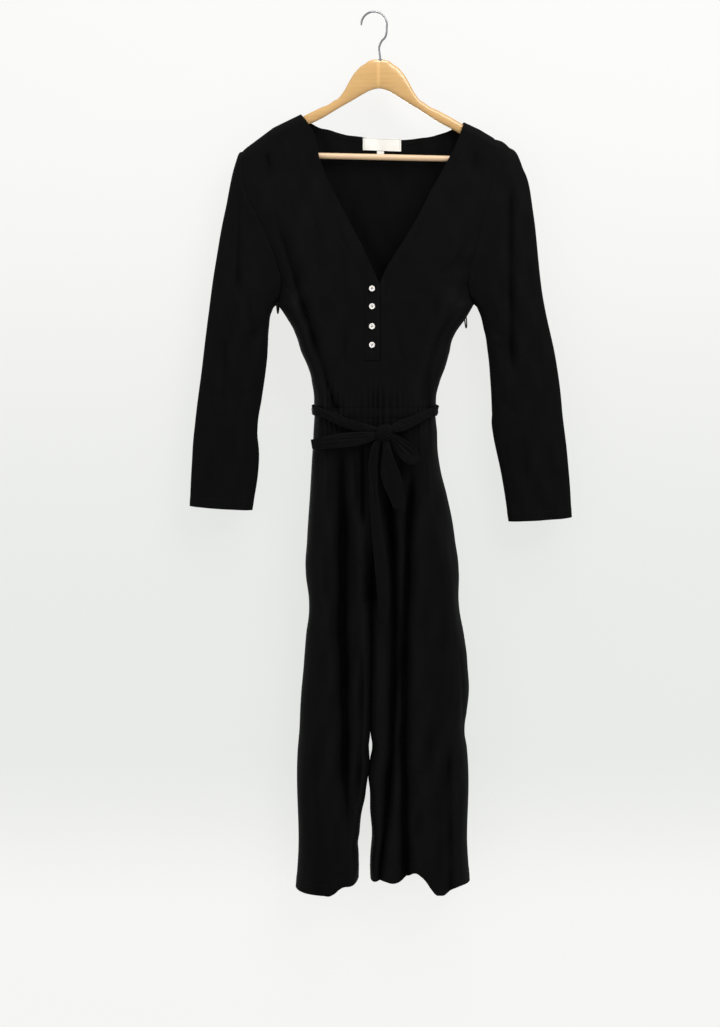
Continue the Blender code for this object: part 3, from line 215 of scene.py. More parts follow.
def read(table: Array, column: int, at: Array, key: int = 0) -> Array:
    """Read a short table as a smooth curve.

    Args:
        table: rows in the order of the key column.
        column: the column that is wanted.
        at: values of the key.
        key: the column that is the key.

    Returns:
        The wanted column's value at each key.
    """
    knots, heights = table[:, key], table[:, column]
    slopes = np.gradient(heights, knots)
    at = np.clip(np.asarray(at, float), knots[0], knots[-1])
    cell = np.clip(np.searchsorted(knots, at, side="right") - 1, 0, len(knots) - 2)
    width = knots[cell + 1] - knots[cell]
    share = (at - knots[cell]) / width
    low = heights[cell] + share * slopes[cell] * width
    high = heights[cell + 1] - (1.0 - share) * slopes[cell + 1] * width
    blend = share * share * (3.0 - 2.0 * share)
    return low * (1.0 - blend) + high * blend


def numbered(table: Array) -> Array:
    """Put a row number in front of each row, so that a path is read along its rows."""
    return np.column_stack((np.arange(len(table), dtype=float), table))


def spread(share: Array, closeness: float = 0.55) -> Array:
    """Bring even shares closer together towards 0 and 1."""
    return share - closeness * np.sin(tau * share) / tau


def even(count: int) -> Array:
    """Shares from 0 to 1 in even steps."""
    return np.linspace(0.0, 1.0, count + 1)


def eased(count: int) -> Array:
    """Shares from 0 to 1, closer together at both ends."""
    return (1.0 - np.cos(np.linspace(0.0, pi, count + 1))) / 2.0


def full_turn(count: int) -> Array:
    """Angles of even steps round a turn."""
    return np.linspace(0.0, tau, count, endpoint=False)


def stacked(*axes: Array) -> Array:
    """Points from their x, y and z."""
    return np.stack(axes, axis=-1)


def run_length(line: Array) -> Array:
    """How far along a line each of its points lies."""
    return np.concatenate(([0.0], np.cumsum(np.linalg.norm(np.diff(line, axis=0), axis=1))))


def unit(vectors: Array) -> Array:
    """Scale vectors in the last axis to length 1."""
    lengths = np.linalg.norm(vectors, axis=-1, keepdims=True)
    return vectors / np.maximum(lengths, 1e-12)


def edge_turn(distance: Array, radius: Array, roundness: Array) -> Array:
    """How far a surface has turned in at an edge.

    Args:
        distance: distance from the edge.
        radius: width of the turn.
        roundness: 1 for a round corner, 0 for a soft one.

    Returns:
        1 at the edge, falling to 0 at the radius.
    """
    left = 1.0 - np.clip(distance / radius, 0.0, 1.0)
    arc = 1.0 - np.sqrt(np.clip(1.0 - left * left, 0.0, 1.0))
    return left * left * (1.0 - roundness) + arc * roundness


# ==== shader maths and finishes
@dataclass(frozen=True)
class Value:
    """A number, colour or vector in a material, so that shader maths reads as Python.

    It wraps a socket, or a plain number until it meets a socket.
    """

    graph: "Graph"
    source: Any

    def math(self, operation: str, *others: Any) -> "Value":
        """Result of a Math node on this number and the others."""
        return self.graph.node("ShaderNodeMath", {"operation": operation},
                               dict(enumerate((self, *others))))

    def vector(self, operation: str, *others: Any, output: int | str = 0) -> "Value":
        """Result of a Vector Math node on this vector and the others."""
        return self.graph.node("ShaderNodeVectorMath", {"operation": operation},
                               dict(enumerate((self, *others))), output)

    def __add__(self, other: Any) -> "Value":
        """Sum of two numbers."""
        return self.math("ADD", other)

    __radd__ = __add__

    def __sub__(self, other: Any) -> "Value":
        """This number less the other."""
        return self.math("SUBTRACT", other)

    def __rsub__(self, other: Any) -> "Value":
        """The other number less this one."""
        return Value(self.graph, other).math("SUBTRACT", self)

    def __mul__(self, other: Any) -> "Value":
        """Product of two numbers."""
        return self.math("MULTIPLY", other)

    __rmul__ = __mul__

    def sine(self) -> "Value":
        """Sine of the number, in radians."""
        return self.math("SINE")

    def ramp(self, start: float, end: float, low: float = 0.0, high: float = 1.0) -> "Value":
        """Smooth ramp of the number, from low at start to high at end."""
        inputs = {"Value": self, "From Min": start, "From Max": end, "To Min": low, "To Max": high}
        return self.graph.node("ShaderNodeMapRange", {"interpolation_type": "SMOOTHSTEP"}, inputs)

    def scaled(self, *vector: float) -> "Value":
        """Multiply this vector by a fixed vector."""
        return self.vector("MULTIPLY", vector)

    def moved(self, *vector: float) -> "Value":
        """Add a fixed vector to this vector."""
        return self.vector("ADD", vector)

    def length(self) -> "Value":
        """Length of this vector."""
        return self.vector("LENGTH", output="Value")


class Graph:
    """The nodes of one material."""

    def __init__(self, name: str) -> None:
        """Start a material that holds only its shader and output.

        Args:
            name: the finish's name.
        """
        self.material = bpy.data.materials.new(name)
        self.material.use_nodes = True
        self.tree = self.material.node_tree
        self.shader = self.tree.nodes["Principled BSDF"]
        self.output = self.tree.nodes["Material Output"]

    def node(self, kind: str, settings: dict[str, Any] | None = None,
             inputs: dict[Any, Any] | None = None, output: int | str = 0) -> Value:
        """Add any node.

        Args:
            kind: the node's type.
            settings: its settings, set first.
            inputs: values or links of its sockets, by name or number.
            output: the output that is wanted.

        Returns:
            The wanted output.
        """
        made = self.tree.nodes.new(kind)
        for key, setting in (settings or {}).items():
            setattr(made, key, setting)
        for key, given in (inputs or {}).items():
            self.feed(made.inputs[key], given)
        return Value(self, made.outputs[output])

    def feed(self, socket: bpy.types.NodeSocket, given: Any) -> None:
        """Link a value to a socket, or set the socket's own number or colour.

        Args:
            socket: the input.
            given: a Value, a number or a tuple.
        """
        if isinstance(given, Value) and isinstance(given.source, bpy.types.NodeSocket):
            self.tree.links.new(given.source, socket)
            return
        plain = given.source if isinstance(given, Value) else given
        if hasattr(socket.default_value, "__len__") and hasattr(plain, "__len__"):
            size = len(socket.default_value)
            socket.default_value = (*plain, 1.0)[:size] if len(plain) < size else plain
        else:
            socket.default_value = plain

    def place(self) -> Value:
        """Place on the piece, in metres."""
        return self.node("ShaderNodeTexCoord", {}, {}, "Object")

    def part(self, vector: Value, axis: str) -> Value:
        """One axis of a vector."""
        return self.node("ShaderNodeSeparateXYZ", {}, {0: vector}, axis)

    def noise(self, vector: Value, scale: float, detail: float = 3.0,
              roughness: float = 0.55) -> Value:
        """Noise from 0 to 1 over the surface, with scale cells in a metre."""
        inputs = {"Vector": vector, "Scale": scale, "Detail": detail, "Roughness": roughness}
        return self.node("ShaderNodeTexNoise", {}, inputs, 0)

    def blend(self, share: Any, first: Any, second: Any) -> Value:
        """Mix of two colours, by the share of the second."""
        inputs = {0: share, 6: first, 7: second}
        return self.node("ShaderNodeMix", {"data_type": "RGBA"}, inputs, 2)

    def bump(self, height: Value, distance: float, strength: float = 1.0,
             below: Value | None = None) -> Value:
        """Turn a height into a surface direction.

        Args:
            height: the height, about 0 to 1.
            distance: metres for a height of 1.
            strength: how much of it shows.
            below: a coarser bump that lies under it.

        Returns:
            The direction for a Normal socket.
        """
        inputs: dict[Any, Any] = {"Height": height, "Distance": distance, "Strength": strength}
        if below is not None:
            inputs["Normal"] = below
        return self.node("ShaderNodeBump", {}, inputs, "Normal")

    def dress(self, inputs: dict[str, Any]) -> None:
        """Set the shader's sockets, by name."""
        for name, given in inputs.items():
            self.feed(self.shader.inputs[name], given)


@dataclass(frozen=True)
class Finish:
    """What a piece is made of; its material is made once."""

    name: str
    slot: str

    def material(self) -> bpy.types.Material:
        """The finish's material, made the first time it is asked for."""
        if self.name not in bpy.data.materials:
            self.paint(Graph(self.name))
        return bpy.data.materials[self.name]

    def paint(self, graph: Graph) -> None:
        """Dress the shader; each finish does this its own way."""
        raise NotImplementedError


@dataclass(frozen=True)
class Crepe(Finish):
    """Matt black viscose crepe: fine pebbled threads and faint wear, with painted shade in its
    hollows and painted highlight on its ridges.
    """

    # painted shade: the near-black colour that the deepest hollows of the relief are painted
    hollow: Colour = (0.0001, 0.0001, 0.0001)
    colour: Colour = (0.0022, 0.0022, 0.0023)
    # the lighter colour of the random wear and the pebbles, and of the painted highlight on the
    # ridges
    wear_and_highlight_colour: Colour = (0.0046, 0.0045, 0.0048)
    roughness: float = 0.66
    threads: float = 2100.0
    sheen: float = 0.006

    def paint(self, graph: Graph) -> None:
        """Dress the shader with pebbled threads, faint wear, painted shade in the hollows, painted
        highlight on the ridges and a soft sheen.

        Args:
            graph: the material's nodes.
        """
        place = graph.place()
        pebble = graph.noise(place.scaled(1.0, 1.0, 0.55), self.threads, 2.0, 0.6)
        thread = graph.noise(place.scaled(1.0, 1.0, 0.06), self.threads * 0.55, 2.0)
        weft = graph.noise(place.scaled(0.08, 0.08, 1.0), self.threads * 0.50, 2.0)
        cloudy = graph.noise(place, 26.0, 4.0)
        crush = graph.noise(place.moved(0.7, 0.2, 0.4).scaled(1.0, 1.0, 0.5), 120.0, 3.0, 0.5)
        worn = cloudy.ramp(0.25, 0.85)
        relief = graph.node("ShaderNodeAttribute", {"attribute_name": "relief"}, {}, "Fac")
        # painted highlight: the high ridges of the relief are painted towards the lighter colour
        raised = relief.ramp(0.50, 0.95)
        wear_and_highlight_tone = graph.blend(worn * 0.20 + pebble * 0.25 + raised * 0.45, self.colour, self.wear_and_highlight_colour)
        # painted shade: the colour falls to the hollow colour where the relief is low
        shade = graph.blend(relief.ramp(0.02, 0.52), self.hollow, wear_and_highlight_tone)
        grain = pebble * 0.55 + thread * 0.28 + weft * 0.17
        soft = graph.bump(crush, 0.0011, 0.32)
        normal = graph.bump(grain, 0.00022, 0.65, soft)
        graph.dress({
            "Base Color": shade, "Roughness": self.roughness + pebble * 0.14 - worn * 0.05,
            "Normal": normal, "Specular IOR Level": 0.036, "Sheen Weight": self.sheen,
            "Sheen Roughness": 0.45, "Sheen Tint": (0.92, 0.95, 1.0, 1.0)})


@dataclass(frozen=True)
class Thread(Finish):
    """Black sewing thread, a little shinier than the cloth."""

    colour: Colour = (0.0040, 0.0040, 0.0044)
    light: Colour = (0.0070, 0.0070, 0.0076)

    def paint(self, graph: Graph) -> None:
        """Dress the shader with twisted plies.

        Args:
            graph: the material's nodes.
        """
        place = graph.place()
        bands = {"wave_type": "BANDS", "bands_direction": "DIAGONAL"}
        twist = graph.node("ShaderNodeTexWave", bands,
                           {"Vector": place, "Scale": 900.0, "Distortion": 1.5}, 1)
        colour = graph.blend(twist, self.colour, self.light)
        graph.dress({
            "Base Color": colour, "Roughness": 0.62 - twist * 0.12,
            "Normal": graph.bump(twist, 0.00008, 0.5), "Specular IOR Level": 0.10,
            "Sheen Weight": 0.01})


@dataclass(frozen=True)
class Pearl(Finish):
    """Milky pearl button with faint drifting layers."""

    cream: Colour = (0.80, 0.76, 0.69)
    grey: Colour = (0.66, 0.66, 0.66)
    pink: Colour = (0.88, 0.80, 0.80)

    def paint(self, graph: Graph) -> None:
        """Dress the shader with drifting pearly layers.

        Args:
            graph: the material's nodes.
        """
        place = graph.place()
        warp = graph.noise(place, 210.0, 3.0)
        layers = (graph.part(place, "Z") * 2400.0 + warp * 9.0).sine().ramp(-1.0, 1.0)
        ground = graph.blend(warp.ramp(0.35, 0.65), self.cream, self.grey)
        colour = graph.blend(layers * 0.35, ground, self.pink)
        graph.dress({
            "Base Color": colour, "Roughness": 0.20 + layers * 0.10,
            "Normal": graph.bump(layers, 0.00004, 0.25), "Coat Weight": 0.6,
            "Coat Roughness": 0.08, "Subsurface Weight": 0.10, "Subsurface Scale": 0.002,
            "Subsurface Radius": (0.6, 0.5, 0.45)})


@dataclass(frozen=True)
class WovenLabel(Finish):
    """Off-white damask label cloth, blank."""

    colour: Colour = (0.80, 0.785, 0.745)
    shade: Colour = (0.66, 0.645, 0.60)

    def paint(self, graph: Graph) -> None:
        """Dress the shader with close ribs and crossing threads.

        Args:
            graph: the material's nodes.
        """
        place = graph.place()
        ribs = (graph.part(place, "Z") * 13000.0).sine().ramp(-1.0, 1.0)
        threads = (graph.part(place, "X") * 9500.0).sine().ramp(-1.0, 1.0)
        cloudy = graph.noise(place, 160.0, 3.0)
        weave = ribs * 0.6 + threads * 0.4
        colour = graph.blend(weave * 0.5 + cloudy * 0.3, self.colour, self.shade)
        graph.dress({
            "Base Color": colour, "Roughness": 0.62 + cloudy * 0.12,
            "Normal": graph.bump(weave, 0.00010, 0.5), "Sheen Weight": 0.10,
            "Specular IOR Level": 0.30})


@dataclass(frozen=True)
class VarnishedWood(Finish):
    """Wood with drifting grain under a varnish."""

    light: Colour
    dark: Colour
    coat: float
    roughness: float
    strip: float = 0.0

    def paint(self, graph: Graph) -> None:
        """Dress the shader with growth rings, pores and varnish.

        Args:
            graph: the material's nodes.
        """
        place = graph.place()
        drift = graph.noise(place.scaled(0.30, 1.0, 1.0), 34.0, 3.0, 0.5)
        along = graph.noise(place.scaled(0.14, 1.0, 1.4), 150.0, 4.0, 0.6)
        wide, depth, height = (graph.part(place, axis) for axis in "XYZ")
        rings = (height * 900.0 + depth * 380.0 + drift * 9.0).sine().ramp(-1.0, 1.0)
        pores = graph.noise(place.scaled(0.05, 1.0, 1.0), 1500.0, 2.0).ramp(0.58, 0.70)
        grain = rings * 0.06 + along * 0.54 + drift * 0.40
        ground = graph.blend(grain.ramp(0.25, 0.90), self.light, self.dark)
        pale = tuple(min(1.12 * part, 0.95) for part in self.light)
        strip = wide.ramp(0.0042, 0.0046) * wide.ramp(0.0092, 0.0088)
        ground = graph.blend(strip * self.strip, ground, pale)
        colour = graph.blend(pores * 0.14, ground, tuple(0.6 * part for part in self.dark))
        worn = graph.noise(place, 55.0, 2.0).ramp(0.35, 0.75)
        graph.dress({
            "Base Color": colour, "Roughness": self.roughness + worn * 0.10,
            "Normal": graph.bump(pores * 0.7 + along * 0.3, 0.00012, 0.35),
            "Coat Weight": self.coat * (1.0 - pores * 0.25), "Coat Roughness": 0.10})


@dataclass(frozen=True)
class Steel(Finish):
    """Bright plated steel wire with faint draw lines."""

    bright: Colour = (0.36, 0.36, 0.37)
    dull: Colour = (0.24, 0.24, 0.26)

    def paint(self, graph: Graph) -> None:
        """Dress the shader with draw lines and fine scratches.

        Args:
            graph: the material's nodes.
        """
        place = graph.place()
        rubbed = graph.noise(place, 340.0, 4.0)
        lines = graph.noise(place.scaled(1.0, 1.0, 0.08), 2600.0, 2.0)
        colour = graph.blend(rubbed, self.bright, self.dull)
        graph.dress({
            "Base Color": colour, "Metallic": 1.0, "Roughness": 0.16 + rubbed * 0.16,
            "Normal": graph.bump(lines, 0.00003, 0.3)})


CREPE = Crepe("black crepe", "black_crepe")
THREAD = Thread("black thread", "black_crepe")
PEARL = Pearl("pearl button", "pearl_button")
LABEL = WovenLabel("white woven label", "white_label")
BEECH = VarnishedWood("varnished beech", "hanger_wood", (0.565, 0.340, 0.124),
                      (0.450, 0.252, 0.080), 0.7, 0.30, 0.8)
PALE_ROD = VarnishedWood("pale rod wood", "bar_wood", (0.650, 0.455, 0.277),
                         (0.585, 0.393, 0.235), 0.25, 0.46)
STEEL = Steel("plated steel", "hook_steel")


# ==== forms on the cloth
CREASE_DEPTH = 1.35  # creases are this much deeper than their tables say
PHASES = 6.28  # the range of random phases, about a full turn
NARROW, WIDE = 1.35, 1.2  # how steeply folds and creases fall in


@dataclass(frozen=True)
class Fold:
    """A large fold that runs down the cloth through three points of (x, drop).

    rise is how far it stands out, or in if negative.  A fold that runs_out doesn't fade at
    its lower end.
    """

    top: Spot
    middle: Spot
    bottom: Spot
    half_width: float
    rise: float
    runs_out: bool = False

    def height(self, x: Array, drop: Array) -> Array:
        """Height that the fold gives the cloth.

        Args:
            x: across the cloth.
            drop: down the cloth.

        Returns:
            The height at each place.
        """
        (x0, top), (x1, middle), (x2, bottom) = self.top, self.middle, self.bottom
        lower = (drop - top) * (drop - middle) / ((bottom - top) * (bottom - middle))
        centre = (drop - top) * (drop - bottom) / ((middle - top) * (middle - bottom))
        upper = (drop - middle) * (drop - bottom) / ((top - middle) * (top - bottom))
        line = x0 * upper + x1 * centre + x2 * lower
        fade = 0.22 * (bottom - top)
        strength = ramp(top, top + fade, drop)
        if not self.runs_out:
            strength = strength * (1.0 - ramp(bottom - fade, bottom, drop))
        off = (x - line) / self.half_width
        shape = bell(off) if self.rise > 0.0 else valley(off, NARROW)
        return self.rise * strength * shape


@dataclass(frozen=True)
class Crease:
    """A small crease along a bowed line between two points of (x, drop).

    lean above 0 makes the side away from +X the steeper one.
    """

    start: Spot
    end: Spot
    rise: float = -0.0016
    half_width: float = 0.0040
    bow: float = 0.0
    lean: float = 0.0

    def height(self, x: Array, drop: Array) -> Array:
        """Height that the crease gives the cloth.

        Args:
            x: across the cloth.
            drop: down the cloth.

        Returns:
            The height at each place.
        """
        run_x, run_drop = self.end[0] - self.start[0], self.end[1] - self.start[1]
        length = float(np.hypot(run_x, run_drop))
        run_x, run_drop = run_x / length, run_drop / length
        share = ((x - self.start[0]) * run_x + (drop - self.start[1]) * run_drop) / length
        off = (x - self.start[0]) * run_drop - (drop - self.start[1]) * run_x
        inside = np.clip(share, 0.0, 1.0)
        off = off - self.bow * 4.0 * inside * (1.0 - inside)
        fade = both_ramps(0.0, 0.35, inside, 1.0 - inside)
        lean = 1.0 + self.lean * np.tanh(off / self.half_width)
        width = self.half_width * (0.55 + 0.45 * fade) * lean
        return CREASE_DEPTH * self.rise * fade * valley(off / width, WIDE)


@dataclass(frozen=True)
class Unevenness:
    """The soft unevenness that hanging cloth has everywhere: a seeded sum of long waves."""

    seed: int
    rise: float = 0.00055
    across: float = 0.030
    down: float = 0.120
    waves: int = 14

    def height(self, x: Array, drop: Array) -> Array:
        """Height of the unevenness.

        Args:
            x: across the cloth.
            drop: down the cloth.

        Returns:
            The height at each place.
        """
        random = np.random.default_rng(self.seed)
        total = np.zeros(np.broadcast(x, drop).shape)
        for _ in range(self.waves):
            size = random.uniform(0.6, 1.8)
            wave_x = tau / (self.across * size) * random.choice((-1.0, 1.0))
            wave_drop = tau / (self.down * random.uniform(0.5, 1.6))
            phase = random.uniform(0.0, tau)
            total = total + size * np.sin(wave_x * x + wave_drop * drop + phase)
        return self.rise * total / self.waves ** 0.5


@dataclass(frozen=True)
class Gathers:
    """Uneven gathers drawn in by the elastic at the waist, read across the body."""

    seed: int
    per_metre: float = 78.0
    rise: float = 0.0017

    def wave(self, x: Array) -> Array:
        """Height of the gathers at the waist seams, from about -1 to 1 times the rise.

        Args:
            x: across the body.

        Returns:
            The height at each place.
        """
        random = np.random.default_rng(self.seed)
        warp = sum(random.uniform(0.4, 0.9) * np.sin(tau * x * pace + random.uniform(0, PHASES))
                   for pace in (9.0, 17.0, 26.0))
        strength = 0.75 + 0.35 * np.sin(tau * x * 12.0 + random.uniform(0.0, PHASES))
        phase = tau * self.per_metre * x + 1.3 * warp
        return self.rise * strength * (np.sin(phase) + 0.25 * np.sin(2.0 * phase + 0.7))

    def reach(self, x: Array, longest: float) -> Array:
        """How far from the waist a gather still shows, uneven across the body.

        Args:
            x: across the body.
            longest: the longest such distance.

        Returns:
            The distance at each place.
        """
        random = np.random.default_rng(self.seed + 100)
        share, more = (0.5 + 0.5 * np.sin(tau * x * pace + random.uniform(0.0, PHASES))
                       for pace in (31.0, 13.0))
        return longest * (0.35 + 0.35 * share + 0.30 * more)


def total_height(forms: Iterable[Fold | Crease | Unevenness], x: Array, drop: Array) -> Array:
    """Add up the heights of several forms.

    Args:
        forms: the folds, creases and unevenness.
        x: across the cloth.
        drop: down the cloth.

    Returns:
        The summed height at each place.
    """
    total = np.zeros(np.broadcast(x, drop).shape)
    for form in forms:
        total = total + form.height(x, drop)
    return total


def folds(*table: Sequence[float]) -> tuple[Fold, ...]:
    """Folds from rows in millimetres.

    Args:
        table: x and drop of three points, half width and rise, then True where it runs out.

    Returns:
        The folds.
    """
    sizes = [rows(row[:8])[0] for row in table]
    return tuple(Fold(size[:2], size[2:4], size[4:6], *size[6:], *row[8:])
                 for size, row in zip(sizes, table))


def creases(*table: Sequence[float]) -> tuple[Crease, ...]:
    """Creases from rows in millimetres.

    Args:
        table: x and drop of both ends, rise, half width and bow, then lean as a plain number.

    Returns:
        The creases.
    """
    sizes = [rows(row[:7])[0] for row in table]
    return tuple(Crease(size[:2], size[2:4], *size[4:], *row[7:])
                 for size, row in zip(sizes, table))


BODY_FOLDS = {
    Face.FRONT: folds(
        (-156, 288, -110, 438, -60, 600, 7.5, -7, True),
        (-164, 330, -122, 455, -78, 600, 11, 3.5, True),
        (134, 440, 99, 500, 84, 600, 9, -6.5, True), (211, 235, 212, 400, 218, 575, 8, -7),
        (-207, 245, -209, 340, -212, 440, 7, -5), (-229, 480, -232, 540, -238, 610, 7, -3.5)),
    Face.BACK: folds(
        (-120, 290, -100, 440, -72, 600, 12, -5, True), (-30, 420, -34, 510, -30, 600, 10, 3, True),
        (122, 300, 104, 450, 66, 600, 13, -5.5, True), (212, 250, 220, 420, 230, 600, 10, -4.5),
        (-214, 260, -222, 420, -236, 580, 9, -5)),
}
LEG_FOLDS = {
    Face.FRONT: folds(
        (-48, 630, -49, 850, -41, 1330, 14, -20), (-18, 635, -17, 720, -18, 800, 6.5, -7.5),
        (-25, 790, -21, 890, -20, 1010, 8, 4), (-18, 980, -21, 1130, -30, 1300, 8.5, -9),
        (18, 650, 30, 840, 9, 1395, 8.5, -16.5, True), (19, 630, 23, 730, 31, 860, 10, -8),
        (61, 640, 54, 830, 53, 1395, 9.5, -16.5, True), (100, 760, 126, 900, 137, 1120, 8.5, 4.2),
        (132, 960, 141, 1050, 143, 1140, 5.5, -6.5),
        (118, 1120, 121, 1250, 123, 1395, 7.5, -5.2, True),
        (-90, 900, -92, 1150, -88, 1395, 15, -3.6, True)),
    Face.BACK: folds(
        (-66, 650, -62, 950, -70, 1395, 14, -12, True),
        (-32, 700, -34, 1000, -46, 1395, 11, 5, True), (45, 640, 40, 940, 46, 1395, 13, -13, True),
        (78, 720, 92, 1000, 98, 1395, 14, -11, True),
        (116, 900, 124, 1100, 126, 1395, 12, 4, True)),
}
# creases and unevenness: the bodice's, the sleeves' and the trousers'
BODY_FINE = {
    Face.FRONT: (*creases(
        (-172, 200, -158, 262, -1.3, 6, 4), (-166, 205, -152, 240, -1.1, 3.5, -2),
        (-150, 395, -118, 428, -1.8, 3.8, -4, 0.3), (-152, 415, -126, 446, -1.4, 3, 2),
        (-98, 300, -80, 372, -1, 7, 5), (-128, 250, -115, 345, -1, 6, -3),
        (-60, 300, -30, 378, -0.9, 5, -4), (-104, 470, -86, 560, -1.4, 4, 3),
        (-46, 452, -42, 560, -1.2, 5, -2), (18, 350, 19, 452, -1.2, 3.2, 0.6),
        (30, 428.5, 88, 425.5, -0.6, 4.8, 1.5, 0.4), (34, 470, 58, 560, -1.1, 4.8, -3),
        (152, 330, 128, 402, -1.3, 5.5, -5), (152, 405, 124, 436, -1.7, 3.6, 4, -0.3),
        (148, 425, 104, 468, -1.4, 3.8, -3), (134, 362, 98, 400, -1.2, 3.8, 3),
        (98, 408, 95, 476, -1.3, 3.6, -2), (118, 262, 104, 340, -1, 6.5, 4),
        (160, 206, 150, 258, -1.2, 5, -3)),
        Unevenness(31)),
    Face.BACK: (*creases(
        (-166, 210, -150, 270, -1.2, 6, 3), (-148, 398, -112, 436, -1.7, 4, -4),
        (-144, 428, -106, 470, -1.3, 3.6, 3), (-60, 240, -46, 330, -1, 7, 4),
        (-12, 230, 4, 350, -0.9, 8, -4), (-70, 500, -58, 580, -1.3, 4.2, 2),
        (16, 470, 12, 575, -1.2, 4.8, -2), (52, 260, 60, 372, -1, 6.5, -5),
        (150, 400, 114, 440, -1.8, 4, 4), (142, 432, 104, 478, -1.3, 3.6, -3),
        (154, 206, 140, 280, -1.2, 5.5, -4), (86, 500, 80, 585, -1.2, 4.2, 2)),
        Unevenness(37, 0.0007)),
}
SLEEVE_FINE = {
    Face.FRONT: (*creases(
        (-219, 262, -226, 420, -1.4, 6, 4), (-192, 402, -186, 500, -1.6, 4.5, -3),
        (-158, 455, -208, 500, -1.9, 4, 4), (-166, 485, -204, 512, -1.4, 3.4, -3),
        (-250, 520, -258, 640, -1.2, 5, 2), (-214, 610, -222, 720, -1.3, 5.5, -3),
        (-252, 660, -262, 742, -1.1, 4.8, 2), (-196, 655, -204, 728, -1.2, 4.2, 3),
        (-176, 556, -212, 592, -0.8, 6.4, 3), (-268, 556, -234, 590, -0.7, 6.4, -3),
        (-180, 706, -220, 736, -0.6, 6.2, 2), (236, 290, 246, 430, -1.3, 5.5, -3),
        (194, 392, 196, 520, -1.5, 4.5, 4), (168, 462, 206, 494, -1.8, 3.8, -4),
        (176, 498, 204, 516, -1.3, 3.2, 2), (258, 470, 268, 600, -1.2, 5, -3),
        (226, 620, 240, 735, -1.4, 5.5, 4), (276, 640, 284, 752, -1.1, 5, -2),
        (204, 640, 222, 752, -1.2, 4.2, -3), (194, 586, 232, 616, -0.8, 6.4, -3),
        (288, 556, 252, 594, -0.7, 6.4, 3), (298, 696, 258, 726, -0.7, 6.4, 2)),
        Unevenness(47, 0.0006, 0.028, 0.110)),
    Face.BACK: (*creases(
        (-200, 300, -204, 430, -1.3, 5.5, -3), (-164, 468, -206, 508, -1.7, 4, 3),
        (-196, 470, -190, 580, -1.4, 4.6, -3), (-240, 480, -252, 620, -1.2, 5, 3),
        (-222, 640, -232, 740, -1.3, 5.5, 3), (-266, 600, -238, 628, -1, 3.6, -3),
        (196, 300, 206, 440, -1.3, 5.5, 3), (172, 470, 214, 510, -1.7, 4, -3),
        (246, 440, 256, 580, -1.2, 5, -3), (214, 600, 232, 740, -1.3, 5.2, 3),
        (282, 610, 252, 640, -1, 3.6, 3), (262, 660, 274, 760, -1.1, 5, -2)),
        Unevenness(53, 0.0007, 0.028, 0.110)),
}
LEG_FINE = {
    Face.FRONT: (*creases(
        (-64, 632, -18, 637, -3, 5, -2), (-30, 640, -26, 790, -2.2, 3.4, 2),
        (-74, 640, -70, 760, -1.6, 4.5, 3), (-84, 650, -84, 735, -1.2, 4, -2),
        (-6, 640, -4, 760, -1.8, 3.6, 1), (44, 630, 42, 720, -2, 3.6, -2),
        (78, 640, 82, 760, -1.8, 4.2, 2), (88, 700, 110, 860, -1.8, 4.6, 4),
        (-100, 850, -60, 908, -0.9, 7.5, -4), (-30, 830, -8, 894, -1.8, 3.6, 3),
        (26, 846, 6, 900, -1.8, 3.6, -3), (-76, 780, -78, 960, -1.4, 6, 3),
        (-106, 1000, -66, 1046, -0.7, 8, 4), (-80, 1060, -72, 1250, -1.3, 6, -4),
        (-108, 1130, -106, 1290, -1.2, 4.6, 3), (-22, 960, -24, 1120, -1.6, 4.2, 2),
        (-30, 1180, -34, 1320, -1.6, 4.2, -2), (-62, 1250, -58, 1365, -1.5, 4.4, 2),
        (-98, 1220, -100, 1372, -1.3, 5, -2), (42, 900, 36, 1060, -1.8, 4.2, 2),
        (30, 1140, 28, 1300, -1.6, 4.4, -2), (76, 860, 80, 1020, -1.5, 5.6, 3),
        (86, 952, 126, 996, -0.8, 8, -4), (108, 940, 100, 1080, -1.3, 5, 3),
        (94, 1080, 90, 1240, -1.4, 5.6, -3), (134, 1180, 136, 1330, -1.4, 4.2, 2),
        (104, 1210, 104, 1372, -1.8, 4.6, 2), (74, 1260, 70, 1345, -1.6, 4.4, -2)),
        Unevenness(41, 0.0007, 0.026, 0.180)),
    Face.BACK: (*creases(
        (-86, 640, -80, 770, -1.6, 4.5, 3), (-42, 640, -44, 760, -1.8, 4.2, -2),
        (-18, 660, -16, 820, -1.5, 4.5, 3), (20, 650, 18, 790, -1.6, 4.2, -3),
        (64, 640, 66, 740, -1.8, 4.2, 2), (92, 680, 104, 840, -1.4, 5, -3),
        (-92, 880, -48, 925, -1.6, 4.4, 4), (-34, 842, -8, 900, -2, 3.6, -3),
        (32, 846, 4, 902, -2, 3.6, 3), (112, 880, 66, 925, -1.6, 4.4, -4),
        (-98, 980, -94, 1180, -1.3, 5.6, 3), (-26, 1000, -30, 1200, -1.4, 5, -3),
        (-94, 1200, -96, 1360, -1.4, 5, 2), (20, 980, 16, 1180, -1.4, 5, 3),
        (66, 980, 70, 1150, -1.4, 5.6, -3), (72, 1180, 70, 1340, -1.5, 5, 2),
        (134, 1000, 116, 1040, -1.2, 4.2, -3), (140, 1160, 142, 1330, -1.2, 4.2, 2)),
        Unevenness(43, 0.0008, 0.028, 0.180)),
}
GATHERS = {Face.FRONT: Gathers(11, 112.0, 0.0014), Face.BACK: Gathers(23, 96.0, 0.0015)}


# ==== the body's surfaces
def shoulder_line(x: Array) -> Array:
    """Drop of the line that the shoulder seams lie on, continued across the neck."""
    knots = (CUT.tip[Hand.LEFT], CUT.shoulder_knot[Hand.LEFT], CUT.neck[Hand.LEFT],
             CUT.neck[Hand.RIGHT], CUT.shoulder_knot[Hand.RIGHT], CUT.tip[Hand.RIGHT])
    return np.interp(x, [knot[0] for knot in knots], [knot[1] for knot in knots])


